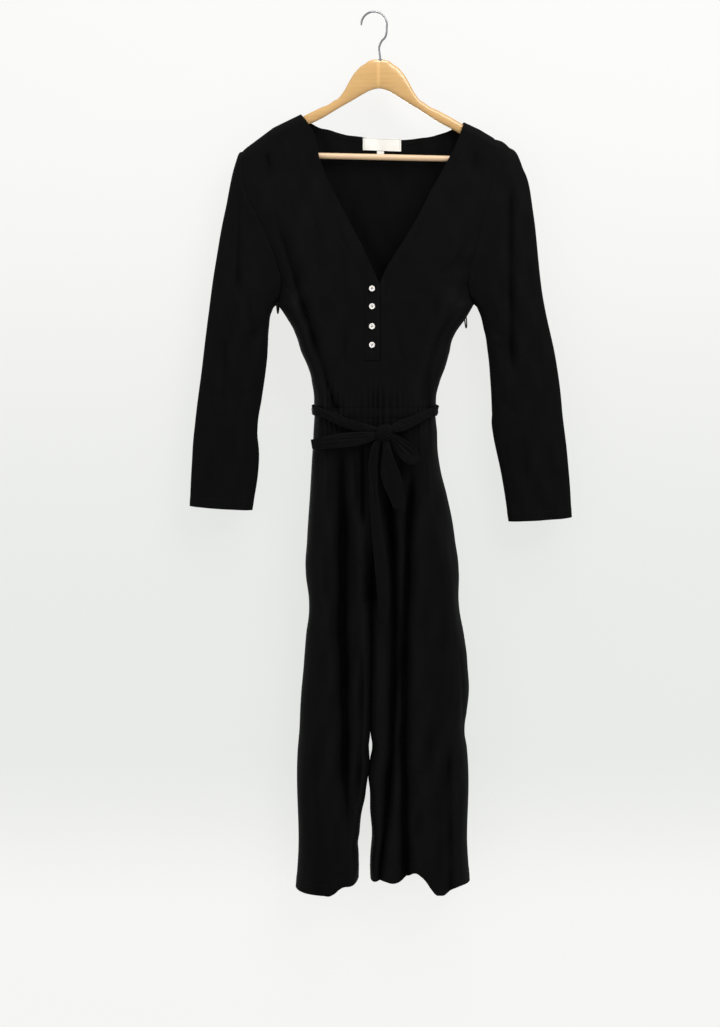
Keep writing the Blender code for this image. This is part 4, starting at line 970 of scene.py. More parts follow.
def over_shoulder(x: Array, drop: Array) -> Array:
    """0 on the shoulder line, 1 once the cloth hangs clear of the hanger."""
    left = 1.0 - np.clip((drop - shoulder_line(x)) / CUT.shoulder_reach, 0.0, 1.0)
    return np.sqrt(1.0 - left * left)


def body_sides(drop: Array) -> tuple[Array, Array]:
    """x of the left and right side seams."""
    return read(BODY_SIDES, 1, drop), read(BODY_SIDES, 2, drop)


def waist_gather(face: Face, x: Array, drop: Array) -> Array:
    """Height of the waist gathers above, on and below the casing.

    Args:
        face: the front or the back.
        x: across the body.
        drop: down the body.

    Returns:
        The height at each place, 0 beside the side seams.
    """
    gathers = GATHERS[face]
    highest = CUT.waist_top - gathers.reach(x, CUT.gathered_above)
    lowest = CUT.waist_bottom + gathers.reach(-x, CUT.gathered_below)
    up = ramp(highest, CUT.waist_top - 0.004, drop)
    down = 1.0 - ramp(CUT.waist_bottom, lowest, drop)
    left, right = body_sides(drop)
    return gathers.wave(x) * up * down * both_ramps(0.0, 0.010, x - left, right - x)


def bodice_depth(face: Face, x: Array, drop: Array, plain: bool = False) -> Array:
    """How far the bodice stands off the hanger's plane.

    Args:
        face: the front or the back.
        x: across the body.
        drop: down the body.
        plain: True leaves out the creases and gathers.

    Returns:
        The depth at each place, positive away from the hanger.
    """
    level = CUT.underarm_drop
    plateau = read(BODY_DEPTHS, face.column, drop)
    armhole = read(ARMHOLE_DEPTHS, face.column, drop)
    below_arm = ramp(level - 0.008, level + 0.009, drop)
    edge = armhole * (1.0 - below_arm) + face.sign * CUT.side_seam_y * below_arm
    roundness = ramp(level - 0.063, level + 0.027, drop)
    radius = CUT.chest_edge + (CUT.side_edge - CUT.chest_edge) * roundness
    left, right = (np.where(drop < level, read(ARMHOLES[hand], 1, drop),
                            read(BODY_SIDES, hand.column, drop)) for hand in Hand)
    near_left = edge_turn(x - left, radius, roundness)
    near_right = edge_turn(right - x, radius, roundness)
    height = plateau + (edge - plateau) * (near_left + near_right)
    settled = (1.0 - near_left) * (1.0 - near_right)
    height = height + total_height(BODY_FOLDS[face], x, drop) * settled
    if not plain:
        clear = both_ramps(0.0, 0.020, x - left, right - x)
        below = ramp(0.012, 0.040, drop - shoulder_line(x))
        height = height + total_height(BODY_FINE[face], x, drop) * clear * below
        height = height + waist_gather(face, x, drop)
    return height * over_shoulder(x, drop)


def leg_depth(face: Face, hand: Hand, x: Array, drop: Array, seams: tuple[Array, Array],
              plain: bool = False) -> Array:
    """How far one trouser panel stands off the hanger's plane.

    Args:
        face: the front or the back.
        hand: which leg.
        x: across the leg.
        drop: down the leg.
        seams: x of the panel's left and right seams at each place.
        plain: True leaves out the creases.

    Returns:
        The depth at each place, positive away from the hanger.
    """
    plateau = read(BODY_DEPTHS, face.column, drop)
    crotch = CUT.crotch[1]
    fall = ramp(crotch - CUT.crotch_curve, crotch, drop) ** 2
    centre = plateau * (1.0 - fall) + face.sign * CUT.crotch_y * fall
    outer, inner = x - seams[0], seams[1] - x
    if hand is Hand.RIGHT:
        outer, inner = inner, outer
    on_leg = ramp(crotch - 0.010, crotch + 0.020, drop)
    near_side = edge_turn(outer, CUT.leg_side_edge, np.ones_like(x))
    inner_radius = CUT.centre_edge + (CUT.inseam_edge - CUT.centre_edge) * on_leg
    near_inner = edge_turn(inner, inner_radius, on_leg)
    settled = (1.0 - near_side) * (1.0 - near_inner)
    height = plateau + (face.sign * CUT.side_seam_y - plateau) * near_side
    height = height + (centre - plateau) * near_inner
    height = height + total_height(LEG_FOLDS[face], x, drop) * settled
    if not plain:
        clear = ramp(0.0, 0.014, outer) * ramp(0.0, 0.010, inner)
        below = ramp(CUT.waist_bottom + 0.004, CUT.waist_bottom + 0.030, drop)
        height = height + total_height(LEG_FINE[face], x, drop) * clear * below
    return height + waist_gather(face, x, drop)


# ==== closed walls from grids
SHORT_PUCKER, LONG_PUCKER = 0.0085, 0.051  # metres between a seam's puckers and its strong ones


def pressed_seam(distance: Array, along: Array, depth: float = 0.0007,
                 half_width: float = 0.0016) -> Array:
    """Dip of the cloth beside a sewn seam, a little puckered along it.

    Args:
        distance: distance from the seam.
        along: how far along it each place is.
        depth: how deep the seam lies.
        half_width: how wide the dip is.

    Returns:
        The height at each place, negative in the dip.
    """
    waves = np.sin(tau * along / SHORT_PUCKER), np.sin(tau * along / LONG_PUCKER + 0.6)
    pucker = 1.0 + 0.30 * waves[0] * waves[1]
    return -depth * pucker * bell(distance / half_width)


# the crepe's painted shade and painted highlight follow the relief across this range
RELIEF_RANGE = 0.0090  # metres between the deepest hollow and the highest ridge told apart


def blurred(points: Array, closed: bool) -> Array:
    """Blur a grid once down its rows.

    Args:
        points: the grid.
        closed: True where its last row meets the first; else the border keeps its slope.

    Returns:
        The blurred grid.
    """
    if closed:
        before, after = np.roll(points, 1, axis=0), np.roll(points, -1, axis=0)
    else:
        before = np.concatenate((2.0 * points[:1] - points[1:2], points[:-1]))
        after = np.concatenate((points[1:], 2.0 * points[-1:] - points[-2:-1]))
    return 0.25 * before + 0.5 * points + 0.25 * after


class Wall:
    """A grid of outer points that becomes one closed cloth wall."""

    def __init__(self, name: str, points: Array, flip: bool = False, closed: bool = False,
                 wall: Array | float = CUT.wall) -> None:
        """Keep the grid and work out which way it faces.

        Args:
            name: the piece's name.
            points: rows by columns by 3.
            flip: True where rows down and columns across face inwards.
            closed: True where the last column meets the first.
            wall: thickness of the cloth, one number or one for each point.
        """
        self.name, self.closed = name, closed
        self.points = np.array(points, dtype=float)
        self.wall = np.broadcast_to(np.asarray(wall, float), self.points.shape[:2])
        down = np.gradient(self.points, axis=0)
        if closed:
            across = np.roll(self.points, -1, axis=1) - np.roll(self.points, 1, axis=1)
        else:
            across = np.gradient(self.points, axis=1)
        self.normals = unit((-1.0 if flip else 1.0) * np.cross(down, across))

    def rim(self) -> list[tuple[int, int]]:
        """Grid places on the border, as (row, column).

        Returns:
            The places, those of the rows first.
        """
        count_rows, count_columns = self.points.shape[:2]
        places = [(row, column) for row in (0, count_rows - 1) for column in range(count_columns)]
        if not self.closed:
            places += [(row, column) for column in (0, count_columns - 1)
                       for row in range(1, count_rows - 1)]
        return places

    def raised(self, height: Array) -> None:
        """Move the outer face out along its directions by a height at each point."""
        self.points = self.points + self.normals * np.asarray(height)[..., None]

    def faces(self) -> list[tuple[int, int, int, int]]:
        """Quads of the outer face, the inner face and the rim between them.

        Returns:
            The quads, as tuples of point numbers.
        """
        count_rows, count_columns = self.points.shape[:2]
        count = count_rows * count_columns
        place = np.arange(count).reshape(count_rows, count_columns)
        if self.closed:
            place = np.column_stack((place, place[:, 0]))
        a, b = place[:-1, :-1].ravel(), place[:-1, 1:].ravel()
        d, c = place[1:, :-1].ravel(), place[1:, 1:].ravel()
        outer = np.column_stack((a, d, c, b))
        inner = np.column_stack((a, b, c, d)) + count
        loops = [place[0], place[-1][::-1]]
        if not self.closed:
            loops += [place[:, -1], place[:, 0][::-1]]
        sides = [np.column_stack((loop[:-1], loop[1:], loop[1:] + count, loop[:-1] + count))
                 for loop in loops]
        return [tuple(face) for face in np.vstack([outer, inner, *sides]).tolist()]

    def relief(self, down: int = 24, across: int = 70) -> Array:
        """How far each point stands out of the blurred surface round it.

        Args:
            down: how often the surface is blurred down its rows.
            across: how often it is blurred across.

        Returns:
            0 in deep hollows, 0.5 on even cloth and 1 on high ridges.
        """
        soft = self.points
        for _ in range(down):
            soft = blurred(soft, False)
        soft = soft.swapaxes(0, 1)
        for _ in range(across):
            soft = blurred(soft, self.closed)
        out = np.sum((self.points - soft.swapaxes(0, 1)) * self.normals, axis=-1)
        return np.clip(0.5 + out / RELIEF_RANGE, 0.0, 1.0)

    def build(self, finish: Finish) -> bpy.types.Object:
        """Make the wall's object, with its relief as an attribute.

        Args:
            finish: the cloth's finish.

        Returns:
            The closed mesh object.
        """
        inner = self.points - self.normals * self.wall[..., None]
        points = np.vstack((self.points.reshape(-1, 3), inner.reshape(-1, 3)))
        item = make_object(self.name, points, self.faces(), finish)
        # the relief goes on as an attribute that the crepe reads to paint shade into the hollows
        # and highlight onto the ridges
        relief = self.relief().ravel()
        attribute = item.data.attributes.new("relief", "FLOAT", "POINT")
        attribute.data.foreach_set("value", np.concatenate((relief, 0.0 * relief + 0.5)))
        return item


JOIN_DIGITS = 5  # border points that agree to this many digits are one point of a seam


def share_directions(walls: Sequence[Wall]) -> None:
    """Give every border point the mean direction of all the walls that meet there.

    Args:
        walls: the walls of one garment.
    """
    sums: dict[tuple[float, ...], Array] = {}
    for wall in walls:
        for place in wall.rim():
            key = tuple(np.round(wall.points[place], JOIN_DIGITS).tolist())
            sums[key] = sums.get(key, np.zeros(3)) + wall.normals[place]
    for wall in walls:
        for place in wall.rim():
            total = sums[tuple(np.round(wall.points[place], JOIN_DIGITS).tolist())]
            if np.linalg.norm(total) > 0.2:
                wall.normals[place] = unit(total)


def make_object(name: str, points: Array, faces: Sequence[Sequence[int]], finish: Finish,
                smooth_angle: float = 50.0) -> bpy.types.Object:
    """Make a mesh object with its faces pointing out and its finish on.

    Args:
        name: the piece's name.
        points: its vertices.
        faces: its faces.
        finish: what it is made of.
        smooth_angle: edges sharper than this many degrees stay sharp.

    Returns:
        The object, linked to the scene.
    """
    mesh = bpy.data.meshes.new(name)
    mesh.from_pydata(np.asarray(points, float).tolist(), [], [tuple(face) for face in faces])
    build = bmesh.new()
    build.from_mesh(mesh)
    bmesh.ops.recalc_face_normals(build, faces=build.faces)
    build.to_mesh(mesh)
    build.free()
    mesh.shade_smooth()
    mesh.set_sharp_from_angle(angle=radians(smooth_angle))
    item = bpy.data.objects.new(name, mesh)
    bpy.context.scene.collection.objects.link(item)
    mesh.materials.append(finish.material())
    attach(item, "root")
    return item


# ==== edges, hems and stitches
class Edge(Enum):
    """The four edges of a wall's grid."""

    TOP = "top"
    BOTTOM = "bottom"
    FIRST = "first"
    LAST = "last"

    def turned(self, grid: Array, back: bool = False) -> Array:
        """Turn a grid so that its rows count from this edge.

        Args:
            grid: the grid.
            back: True turns it back again.

        Returns:
            The same grid in the other order.
        """
        aside, reversed_ = self in (Edge.FIRST, Edge.LAST), self in (Edge.BOTTOM, Edge.LAST)
        if back and reversed_:
            grid = grid[::-1]
        if aside:
            grid = grid.swapaxes(0, 1)
        return grid[::-1] if reversed_ and not back else grid


def from_edge(wall: Wall, edge: Edge) -> tuple[Array, Array]:
    """Measure a wall's grid from one of its edges.

    Args:
        wall: the wall.
        edge: the edge.

    Returns:
        Distance of each point from the edge, and how far along the edge it lies.
    """
    points = edge.turned(wall.points)
    steps = np.linalg.norm(np.diff(points, axis=0), axis=-1)
    distance = np.vstack((np.zeros(points.shape[1]), np.cumsum(steps, axis=0)))
    along = np.broadcast_to(run_length(points[0]), distance.shape)
    return edge.turned(distance, back=True), edge.turned(along, back=True)


def press(wall: Wall, *edges: Edge, depth: float = 0.0007) -> None:
    """Press the sewn seams of a wall in a little.

    Args:
        wall: the wall.
        edges: the edges that are sewn to a neighbour.
        depth: how deep the seams lie.
    """
    height = np.zeros(wall.points.shape[:2])
    for edge in edges:
        height = height + pressed_seam(*from_edge(wall, edge), depth)
    wall.raised(height)


@dataclass(frozen=True)
class Turning:
    """A hem turned in and stitched: a thicker band with a soft ridge and a stitch groove."""

    width: float
    step: float = 0.00035
    thicker: float = 0.0009
    groove: float = 0.0003
    stitch_inset: float = 0.0016
    groove_width: float = 0.0012
    pull_length: float = 0.0125

    def turn(self, wall: Wall, edge: Edge) -> None:
        """Shape the hem at one edge of a wall.

        Args:
            wall: the wall.
            edge: the edge that is turned in.
        """
        distance, along = from_edge(wall, edge)
        band = 1.0 - ramp(self.width - 0.0010, self.width + 0.0014, distance)
        pull = 1.0 + 0.35 * np.sin(tau * along / self.pull_length + 3.0 * np.sin(along * 90.0))
        groove = bell((distance - self.width + self.stitch_inset) / self.groove_width)
        wall.raised(self.step * band - self.groove * pull * groove)
        wall.wall = wall.wall + self.thicker * band


@dataclass(frozen=True)
class StitchRow:
    """A row of machine stitches on a wall, parallel to one of its edges."""

    edge: Edge
    inset: float
    pitch: float = 0.0028
    length: float = 0.0021
    radius: float = 0.00019

    def line(self, wall: Wall) -> tuple[Array, Array]:
        """Find where the row runs.

        Args:
            wall: the wall that carries it.

        Returns:
            Points of the row and the cloth's outward directions there.
        """
        distance, points, normals = (self.edge.turned(grid) for grid in (
            from_edge(wall, self.edge)[0], wall.points, wall.normals))
        places, ways = [], []
        for column in range(points.shape[1]):
            row = int(np.searchsorted(distance[:, column], self.inset))
            row = min(max(row, 1), len(distance) - 1)
            low, high = distance[row - 1, column], distance[row, column]
            share = (self.inset - low) / max(high - low, 1e-9)
            places.append(points[row - 1, column] * (1 - share) + points[row, column] * share)
            ways.append(normals[row, column])
        if wall.closed and self.edge in (Edge.TOP, Edge.BOTTOM):
            places.append(places[0])
            ways.append(ways[0])
        return np.array(places), np.array(ways)


# a stitch's four rings: places in stitch lengths, then lifts and widths in thread radii
STITCH_PLACES = np.array((-0.5, -0.25, 0.25, 0.5))
STITCH_LIFTS = np.array((-0.6, 0.7, 0.7, -0.6))
STITCH_WIDTHS = np.array((0.45, 1.0, 1.0, 0.45))


def stitch_shapes(line: Array, ways: Array, row: StitchRow) -> list[Shape]:
    """Lay stitches along a line.

    Args:
        line: points of the line.
        ways: outward directions there.
        row: spacing and size of the stitches.

    Returns:
        The stitches.
    """
    lengths, shapes = run_length(line), []
    ring = np.array([(cos(a), sin(a)) for a in full_turn(5)])
    for middle in np.arange(0.5 * row.pitch, lengths[-1] - 0.4 * row.pitch, row.pitch):
        at = middle + row.length * STITCH_PLACES
        spine = stacked(*(np.interp(at, lengths, line[:, axis]) for axis in range(3)))
        way = unit(np.array([np.interp(middle, lengths, ways[:, axis]) for axis in range(3)]))
        side = np.cross(unit(spine[-1] - spine[0]), way)
        block = [centre + way * rise + (side * ring[:, :1] + way * ring[:, 1:]) * size
                 for centre, rise, size in zip(spine, row.radius * STITCH_LIFTS,
                                               row.radius * STITCH_WIDTHS)]
        shapes.append((np.vstack(block), TUBE_FACES))
    return shapes


def tube_faces(rings: int, around: int, capped: bool = True) -> list[tuple[int, ...]]:
    """Faces of a tube of rings of points.

    Args:
        rings: number of rings.
        around: points in a ring.
        capped: True closes both ends.

    Returns:
        Faces as tuples of point numbers.
    """
    faces = [(ring * around + place, ring * around + (place + 1) % around,
              (ring + 1) * around + (place + 1) % around, (ring + 1) * around + place)
             for ring in range(rings - 1) for place in range(around)]
    if capped:
        faces += [tuple(range(around)), tuple(range((rings - 1) * around, rings * around))]
    return faces


TUBE_FACES = tube_faces(4, 5)


def joined(name: str, shapes: Iterable[Shape], finish: Finish,
           smooth_angle: float = 50.0) -> bpy.types.Object:
    """Join many small closed shapes into one piece.

    Args:
        name: the piece's name.
        shapes: points and faces of each shape.
        finish: what they are made of.
        smooth_angle: edges sharper than this many degrees stay sharp.

    Returns:
        The object.
    """
    blocks, faces, start = [], [], 0
    for block, shape in shapes:
        blocks.append(block)
        faces += [tuple(start + corner for corner in face) for face in shape]
        start += len(block)
    return make_object(name, np.vstack(blocks), faces, finish, smooth_angle)


def stitches(name: str, wall: Wall, *rows_of: StitchRow,
             part: slice = slice(None)) -> bpy.types.Object:
    """Sew rows of stitches on a wall.

    Args:
        name: the stitches' name.
        wall: the wall that carries them.
        rows_of: the rows.
        part: the part of each row that is sewn.

    Returns:
        The joined stitches.
    """
    shapes: list[Shape] = []
    for row in rows_of:
        line, ways = row.line(wall)
        shapes += stitch_shapes(line[part], ways[part], row)
    return joined(name, shapes, THREAD, 80.0)


def tube(line: Array, radius: Array | float, around: int) -> Shape:
    """A round tube along a line.

    Args:
        line: points of its middle line.
        radius: its radius, one number or one for each point.
        around: points in a ring.

    Returns:
        Its points and faces.
    """
    run = unit(np.gradient(line, axis=0))
    helper = np.array((0.0, 1.0, 0.0)) if abs(run[0, 1]) < 0.9 else np.array((1.0, 0.0, 0.0))
    side = unit(np.cross(run, helper))
    up = np.cross(side, run)
    radius = np.broadcast_to(np.asarray(radius, float), (len(line),))[:, None, None]
    angle = full_turn(around)[None, :, None]
    ring = side[:, None] * np.cos(angle) + up[:, None] * np.sin(angle)
    return (line[:, None] + ring * radius).reshape(-1, 3), tube_faces(len(line), around)


# ==== the bodice
@dataclass
class Bodice:
    """Two fronts that meet below the V, and a back."""

    arm_rows: int = 66
    lower_rows: int = 62
    front_columns: int = 60
    back_shoulder_columns: int = 16
    back_neck_columns: int = 78
    neck_turning: Turning = Turning(0.0080, 0.0003, 0.0006)
    neck_inset: float = 0.0066
    waist_depth: float = 0.0004

    def lower_shares(self) -> Array:
        """Row positions from underarm to waist, closer together at the waist."""
        return np.sin(np.linspace(0.0, 0.5 * pi, self.lower_rows + 1))[1:]

    def shoulder_seam(self, share: Array, hand: Hand) -> tuple[Array, Array]:
        """x and drop on a shoulder seam, at shares from 0 at the armhole to 1 at the neck."""
        knots = (CUT.tip[hand], CUT.shoulder_knot[hand], CUT.neck[hand])
        return tuple(np.interp(share, (0.0, 0.5, 1.0), axis) for axis in zip(*knots))

    def front(self, hand: Hand) -> Wall:
        """One front, its columns from armhole and side seam to the front edge.

        Args:
            hand: which front.

        Returns:
            The panel's wall.
        """
        tip, neck, underarm = CUT.tip[hand], CUT.neck[hand], CUT.underarm[hand]
        share = spread(even(self.front_columns))[None]
        arm = eased(self.arm_rows)[:, None]
        seam_x, seam_drop = self.shoulder_seam(share, hand)
        outer_drop = tip[1] + (underarm[1] - tip[1]) * arm
        inner_drop = neck[1] + (CUT.v_foot[1] - neck[1]) * arm
        outer_x = read(ARMHOLES[hand], 1, outer_drop)
        inner_x = read(NECK_EDGES[hand], 1, inner_drop)
        x = outer_x + (inner_x - outer_x) * share
        x = x + (seam_x - tip[0] - (neck[0] - tip[0]) * share) * (1.0 - arm)
        drop = outer_drop + (inner_drop - outer_drop) * share
        drop = drop + (seam_drop - tip[1] - (neck[1] - tip[1]) * share) * (1.0 - arm)
        lower = self.lower_shares()[:, None]
        side_drop = underarm[1] + (CUT.waist_top - underarm[1]) * lower
        centre_drop = CUT.v_foot[1] + (CUT.waist_top - CUT.v_foot[1]) * lower
        side_x = read(BODY_SIDES, hand.column, side_drop)
        x = np.vstack((x, side_x + (CUT.v_foot[0] - side_x) * share))
        drop = np.vstack((drop, side_drop + (centre_drop - side_drop) * share))
        points = stacked(x, -bodice_depth(Face.FRONT, x, drop), -drop)
        return Wall(f"front_bodice_{hand.value}", points, flip=hand is Hand.RIGHT)

    def back(self) -> Wall:
        """The back, its columns from the left armhole to the right one.

        Returns:
            The back's wall.
        """
        neck, tips, level = CUT.neck, CUT.tip, CUT.underarm_drop
        shoulder = even(self.back_shoulder_columns)
        left_x, left_drop = self.shoulder_seam(shoulder, Hand.LEFT)
        right_x, right_drop = self.shoulder_seam(shoulder[::-1], Hand.RIGHT)
        inner = spread(even(self.back_neck_columns)[1:-1], 0.85)
        neck_x = neck[Hand.LEFT][0] + (neck[Hand.RIGHT][0] - neck[Hand.LEFT][0]) * inner
        top_x = np.concatenate((left_x, neck_x, right_x))[None]
        top_drop = np.concatenate((left_drop, read(BACK_NECK, 1, neck_x), right_drop))[None]
        across = spread(even(top_x.shape[1] - 1))[None]
        arm = eased(self.arm_rows)[:, None]
        rail_x = [read(ARMHOLES[hand], 1, tips[hand][1] + (level - tips[hand][1]) * arm)
                  for hand in Hand]
        first = (top_x - tips[Hand.LEFT][0]) / (tips[Hand.RIGHT][0] - tips[Hand.LEFT][0])
        share = first + (across - first) * ramp(0.0, 0.8, arm)
        x = rail_x[0] + (rail_x[1] - rail_x[0]) * share
        drop = top_drop + (level - top_drop) * arm
        low_drop = level + (CUT.waist_top - level) * self.lower_shares()[:, None]
        low_left, low_right = body_sides(low_drop)
        x = np.vstack((x, low_left + (low_right - low_left) * across))
        drop = np.vstack((drop, np.broadcast_to(low_drop, (self.lower_rows, across.shape[1]))))
        points = stacked(x, bodice_depth(Face.BACK, x, drop), -drop)
        return Wall("back_bodice", points, flip=True)

    def finish_front(self, wall: Wall) -> bpy.types.Object:
        """Press a front's seams, turn its neck edge in and sew it.

        Args:
            wall: the front's wall.

        Returns:
            The stitches along its neck edge.
        """
        press(wall, Edge.TOP, Edge.FIRST)
        press(wall, Edge.BOTTOM, depth=self.waist_depth)
        below_v = np.arange(len(wall.points)) > self.arm_rows
        wall.raised(pressed_seam(*from_edge(wall, Edge.LAST)) * below_v[:, None])
        kept, thickness = wall.points.copy(), wall.wall.copy()
        self.neck_turning.turn(wall, Edge.LAST)
        wall.points[below_v] = kept[below_v]
        wall.wall = np.where(below_v[:, None], thickness, wall.wall)
        return stitches(f"stitches_{wall.name}", wall, StitchRow(Edge.LAST, self.neck_inset),
                        part=slice(4, self.arm_rows - 2))

    def finish_back(self, back: Wall) -> bpy.types.Object:
        """Press the back's seams, turn its neck edge in and sew it.

        Args:
            back: the back.

        Returns:
            The stitches round the back of the neck.
        """
        press(back, Edge.FIRST, Edge.LAST)
        press(back, Edge.BOTTOM, depth=self.waist_depth)
        self.neck_turning.turn(back, Edge.TOP)
        clear = self.back_shoulder_columns + 2
        return stitches("stitches_back_neck", back, StitchRow(Edge.TOP, self.neck_inset),
                        part=slice(clear, -clear))


@dataclass
class UnderarmLoops:
    """Short thread loops that hang from the underarm seams, their tops given as (x, drop)."""

    tops: tuple[Spot, ...] = ((-0.1508, 0.4345), (-0.1476, 0.4360), (0.1425, 0.4620))
    length: float = 0.0215
    half_width: float = 0.0014
    radius: float = 0.0010

    def build(self) -> None:
        """Make the loops as one piece."""
        angle = np.linspace(0.0, pi, 25)
        lines = []
        for number, (x, drop) in enumerate(self.tops):
            down = self.length * (1.0 - 0.12 * number) * np.sin(angle) ** 0.7
            sway = 0.0016 * np.sin(0.5 * pi * down / self.length) * (-1.0) ** number
            spread_x = x + self.half_width * np.cos(angle) + sway
            lines.append(tube(stacked(spread_x, 0.0006 * np.cos(angle), -drop - down),
                              self.radius, 6))
        joined("underarm_loops", lines, THREAD)
        log.info("underarm loops: %d", len(lines))


# ==== the sleeves
@dataclass
class Sleeve:
    """A one-piece sleeve with an open, plainly turned cuff."""

    hand: Hand
    around_rows: int = 66
    rings: int = 176
    cuff: Turning = Turning(0.0160)
    cuff_row: StitchRow = StitchRow(Edge.BOTTOM, 0.0142)
    seam_depth: float = 0.0006
    roundness: float = 2.3
    hooked_rings: float = 3.0
    loose_rings: float = 2.2

    def wall(self) -> Wall:
        """Rings from the armhole to the cuff, each from the outer edge, front side first.

        Returns:
            The sleeve's wall.
        """
        table, armhole = numbered(SLEEVE_RINGS[self.hand]), ARMHOLES[self.hand]
        tip, underarm = CUT.tip[self.hand], CUT.underarm[self.hand]
        shares = eased(self.around_rows)
        share = np.concatenate((shares, shares[-2:0:-1]))[None]
        is_front = (np.arange(share.shape[1]) <= self.around_rows)[None]
        down = (len(table) - 1) * even(self.rings)[:, None] ** 1.15
        outer_x, outer_drop, inner_x, inner_drop, front, back = (
            read(table, column, down) for column in range(1, 7))
        loose = ramp(0.0, self.loose_rings, down)
        hooked = (1.0 - ramp(0.0, self.hooked_rings, down)) ** 2
        rail_drop = tip[1] + (underarm[1] - tip[1]) * share
        rail_x = read(armhole, 1, rail_drop)
        chord_x = tip[0] + (underarm[0] - tip[0]) * share
        x = outer_x + (inner_x - outer_x) * share + (rail_x - chord_x) * hooked
        drop = outer_drop + (inner_drop - outer_drop) * share
        half = np.where(is_front, front, back)
        off_middle = np.abs(2.0 * share - 1.0)
        tube_y = half * np.sqrt(np.maximum(0.0, 1.0 - off_middle ** self.roundness))
        settled = both_ramps(0.02, 0.15, share, 1.0 - share)
        clear = both_ramps(0.02, 0.22, share, 1.0 - share) * ramp(0.0, 0.5, down)
        rail_y, forms, fine = (np.where(is_front, *sides) for sides in (
            [bodice_depth(face, rail_x, rail_drop) for face in Face],
            [total_height(BODY_FOLDS[face], x, drop) for face in Face],
            [total_height(SLEEVE_FINE[face], x, drop) for face in Face]))
        tube_y = tube_y + forms * settled + fine * clear
        height = rail_y * (1.0 - loose) + tube_y * loose
        tilt = CUT.underarm_y * share * loose
        y = np.where(is_front, -height, height) + tilt
        return Wall(f"sleeve_{self.hand.value}", stacked(x, y, -drop),
                    flip=self.hand is Hand.RIGHT, closed=True)

    def finish(self, wall: Wall) -> bpy.types.Object:
        """Press the seams, turn the cuff and sew it.

        Args:
            wall: the sleeve's wall.

        Returns:
            The cuff's stitches.
        """
        press(wall, Edge.TOP)
        distance, _ = from_edge(wall, Edge.TOP)
        seam = wall.points[:, self.around_rows:self.around_rows + 1]
        from_seam = np.linalg.norm(wall.points - seam, axis=-1)
        wall.raised(pressed_seam(from_seam, distance, self.seam_depth))
        self.cuff.turn(wall, Edge.BOTTOM)
        return stitches(f"stitches_cuff_{self.hand.value}", wall, self.cuff_row)


# ==== the trousers
@dataclass
class Trousers:
    """Two fronts and two backs, with open turned hems, and the waist casing above them."""

    upper_rows: int = 84
    lower_rows: int = 132
    front_columns: int = 66
    back_columns: int = 56
    casing_rows: int = 7
    casing_columns: int = 130
    hem: Turning = Turning(0.0200)
    hem_row: StitchRow = StitchRow(Edge.BOTTOM, 0.0182)
    waist_depth: float = 0.0004

    def levels(self) -> Array:
        """Rows from the waist to the hem; one lies on the crotch."""
        upper, lower = even(self.upper_rows) ** 1.25, even(self.lower_rows)[1:]
        return np.concatenate((CUT.waist_bottom + (CUT.crotch[1] - CUT.waist_bottom) * upper,
                               CUT.crotch[1] + (CUT.hem_row - CUT.crotch[1]) * lower))[:, None]

    def panel(self, hand: Hand, face: Face) -> Wall:
        """One trouser panel, its columns from its left seam to its right seam.

        Args:
            hand: which leg.
            face: front or back.

        Returns:
            The panel's wall.
        """
        level = self.levels()
        seams = (read(BODY_SIDES, hand.column, level),
                 np.where(level <= CUT.crotch[1] + 1e-9, read(CENTRE_SEAM, 1, level),
                          read(INSEAMS, hand.column, level)))
        left, right = seams if hand is Hand.LEFT else seams[::-1]
        columns = self.front_columns if face is Face.FRONT else self.back_columns
        x = left + (right - left) * spread(even(columns))[None]
        depth = leg_depth(face, hand, x, level + 0.0 * x, (left, right))
        last = ramp(CUT.crotch[1] + 0.2, CUT.hem_row, level)
        drop = level + (read(HEMS[hand], 1, x) - CUT.hem_row) * last
        return Wall(f"leg_{face.value}_{hand.value}", stacked(x, face.sign * depth, -drop),
                    flip=face is Face.BACK)

    def finish(self, wall: Wall) -> bpy.types.Object:
        """Press a panel's seams, turn its hem and sew it.

        Args:
            wall: the panel's wall.

        Returns:
            The hem's stitches.
        """
        press(wall, Edge.FIRST, Edge.LAST)
        press(wall, Edge.TOP, depth=self.waist_depth)
        self.hem.turn(wall, Edge.BOTTOM)
        return stitches(f"stitches_{wall.name}", wall, self.hem_row)

    def casing(self) -> Wall:
        """The casing that holds the elastic, gathered all round.

        Returns:
            The casing's wall.
        """
        share = even(self.casing_rows - 1)[:, None]
        drop = CUT.waist_top + (CUT.waist_bottom - CUT.waist_top) * share
        left, right = body_sides(drop)
        across = spread(np.arange(self.casing_columns) / self.casing_columns)[None]
        centre = float(read(CENTRE_SEAM, 1, CUT.waist_bottom))
        sides = []
        for face in Face:
            x = left + (right - left) * (across if face is Face.FRONT else 1.0 - across)
            above = bodice_depth(face, x, np.full_like(x, CUT.waist_top))
            at, middle = np.full_like(x, CUT.waist_bottom), centre + 0.0 * x
            below = np.where(x < centre, leg_depth(face, Hand.LEFT, x, at, (left, middle), True),
                             leg_depth(face, Hand.RIGHT, x, at, (middle, right), True))
            depth = above + (below - above) * ramp(0.0, 1.0, share)
            clear = both_ramps(0.0, 0.012, x - left, right - x)
            ruck = 0.0005 * np.sin(tau * x * 190.0 + 2.0 * np.sin(x * 60.0))
            depth = depth + (0.0004 + ruck) * np.sin(pi * share) * clear
            sides.append(stacked(x, depth * face.sign, -drop + 0.0 * x))
        return Wall("waist_casing", np.concatenate(sides, axis=1), closed=True)


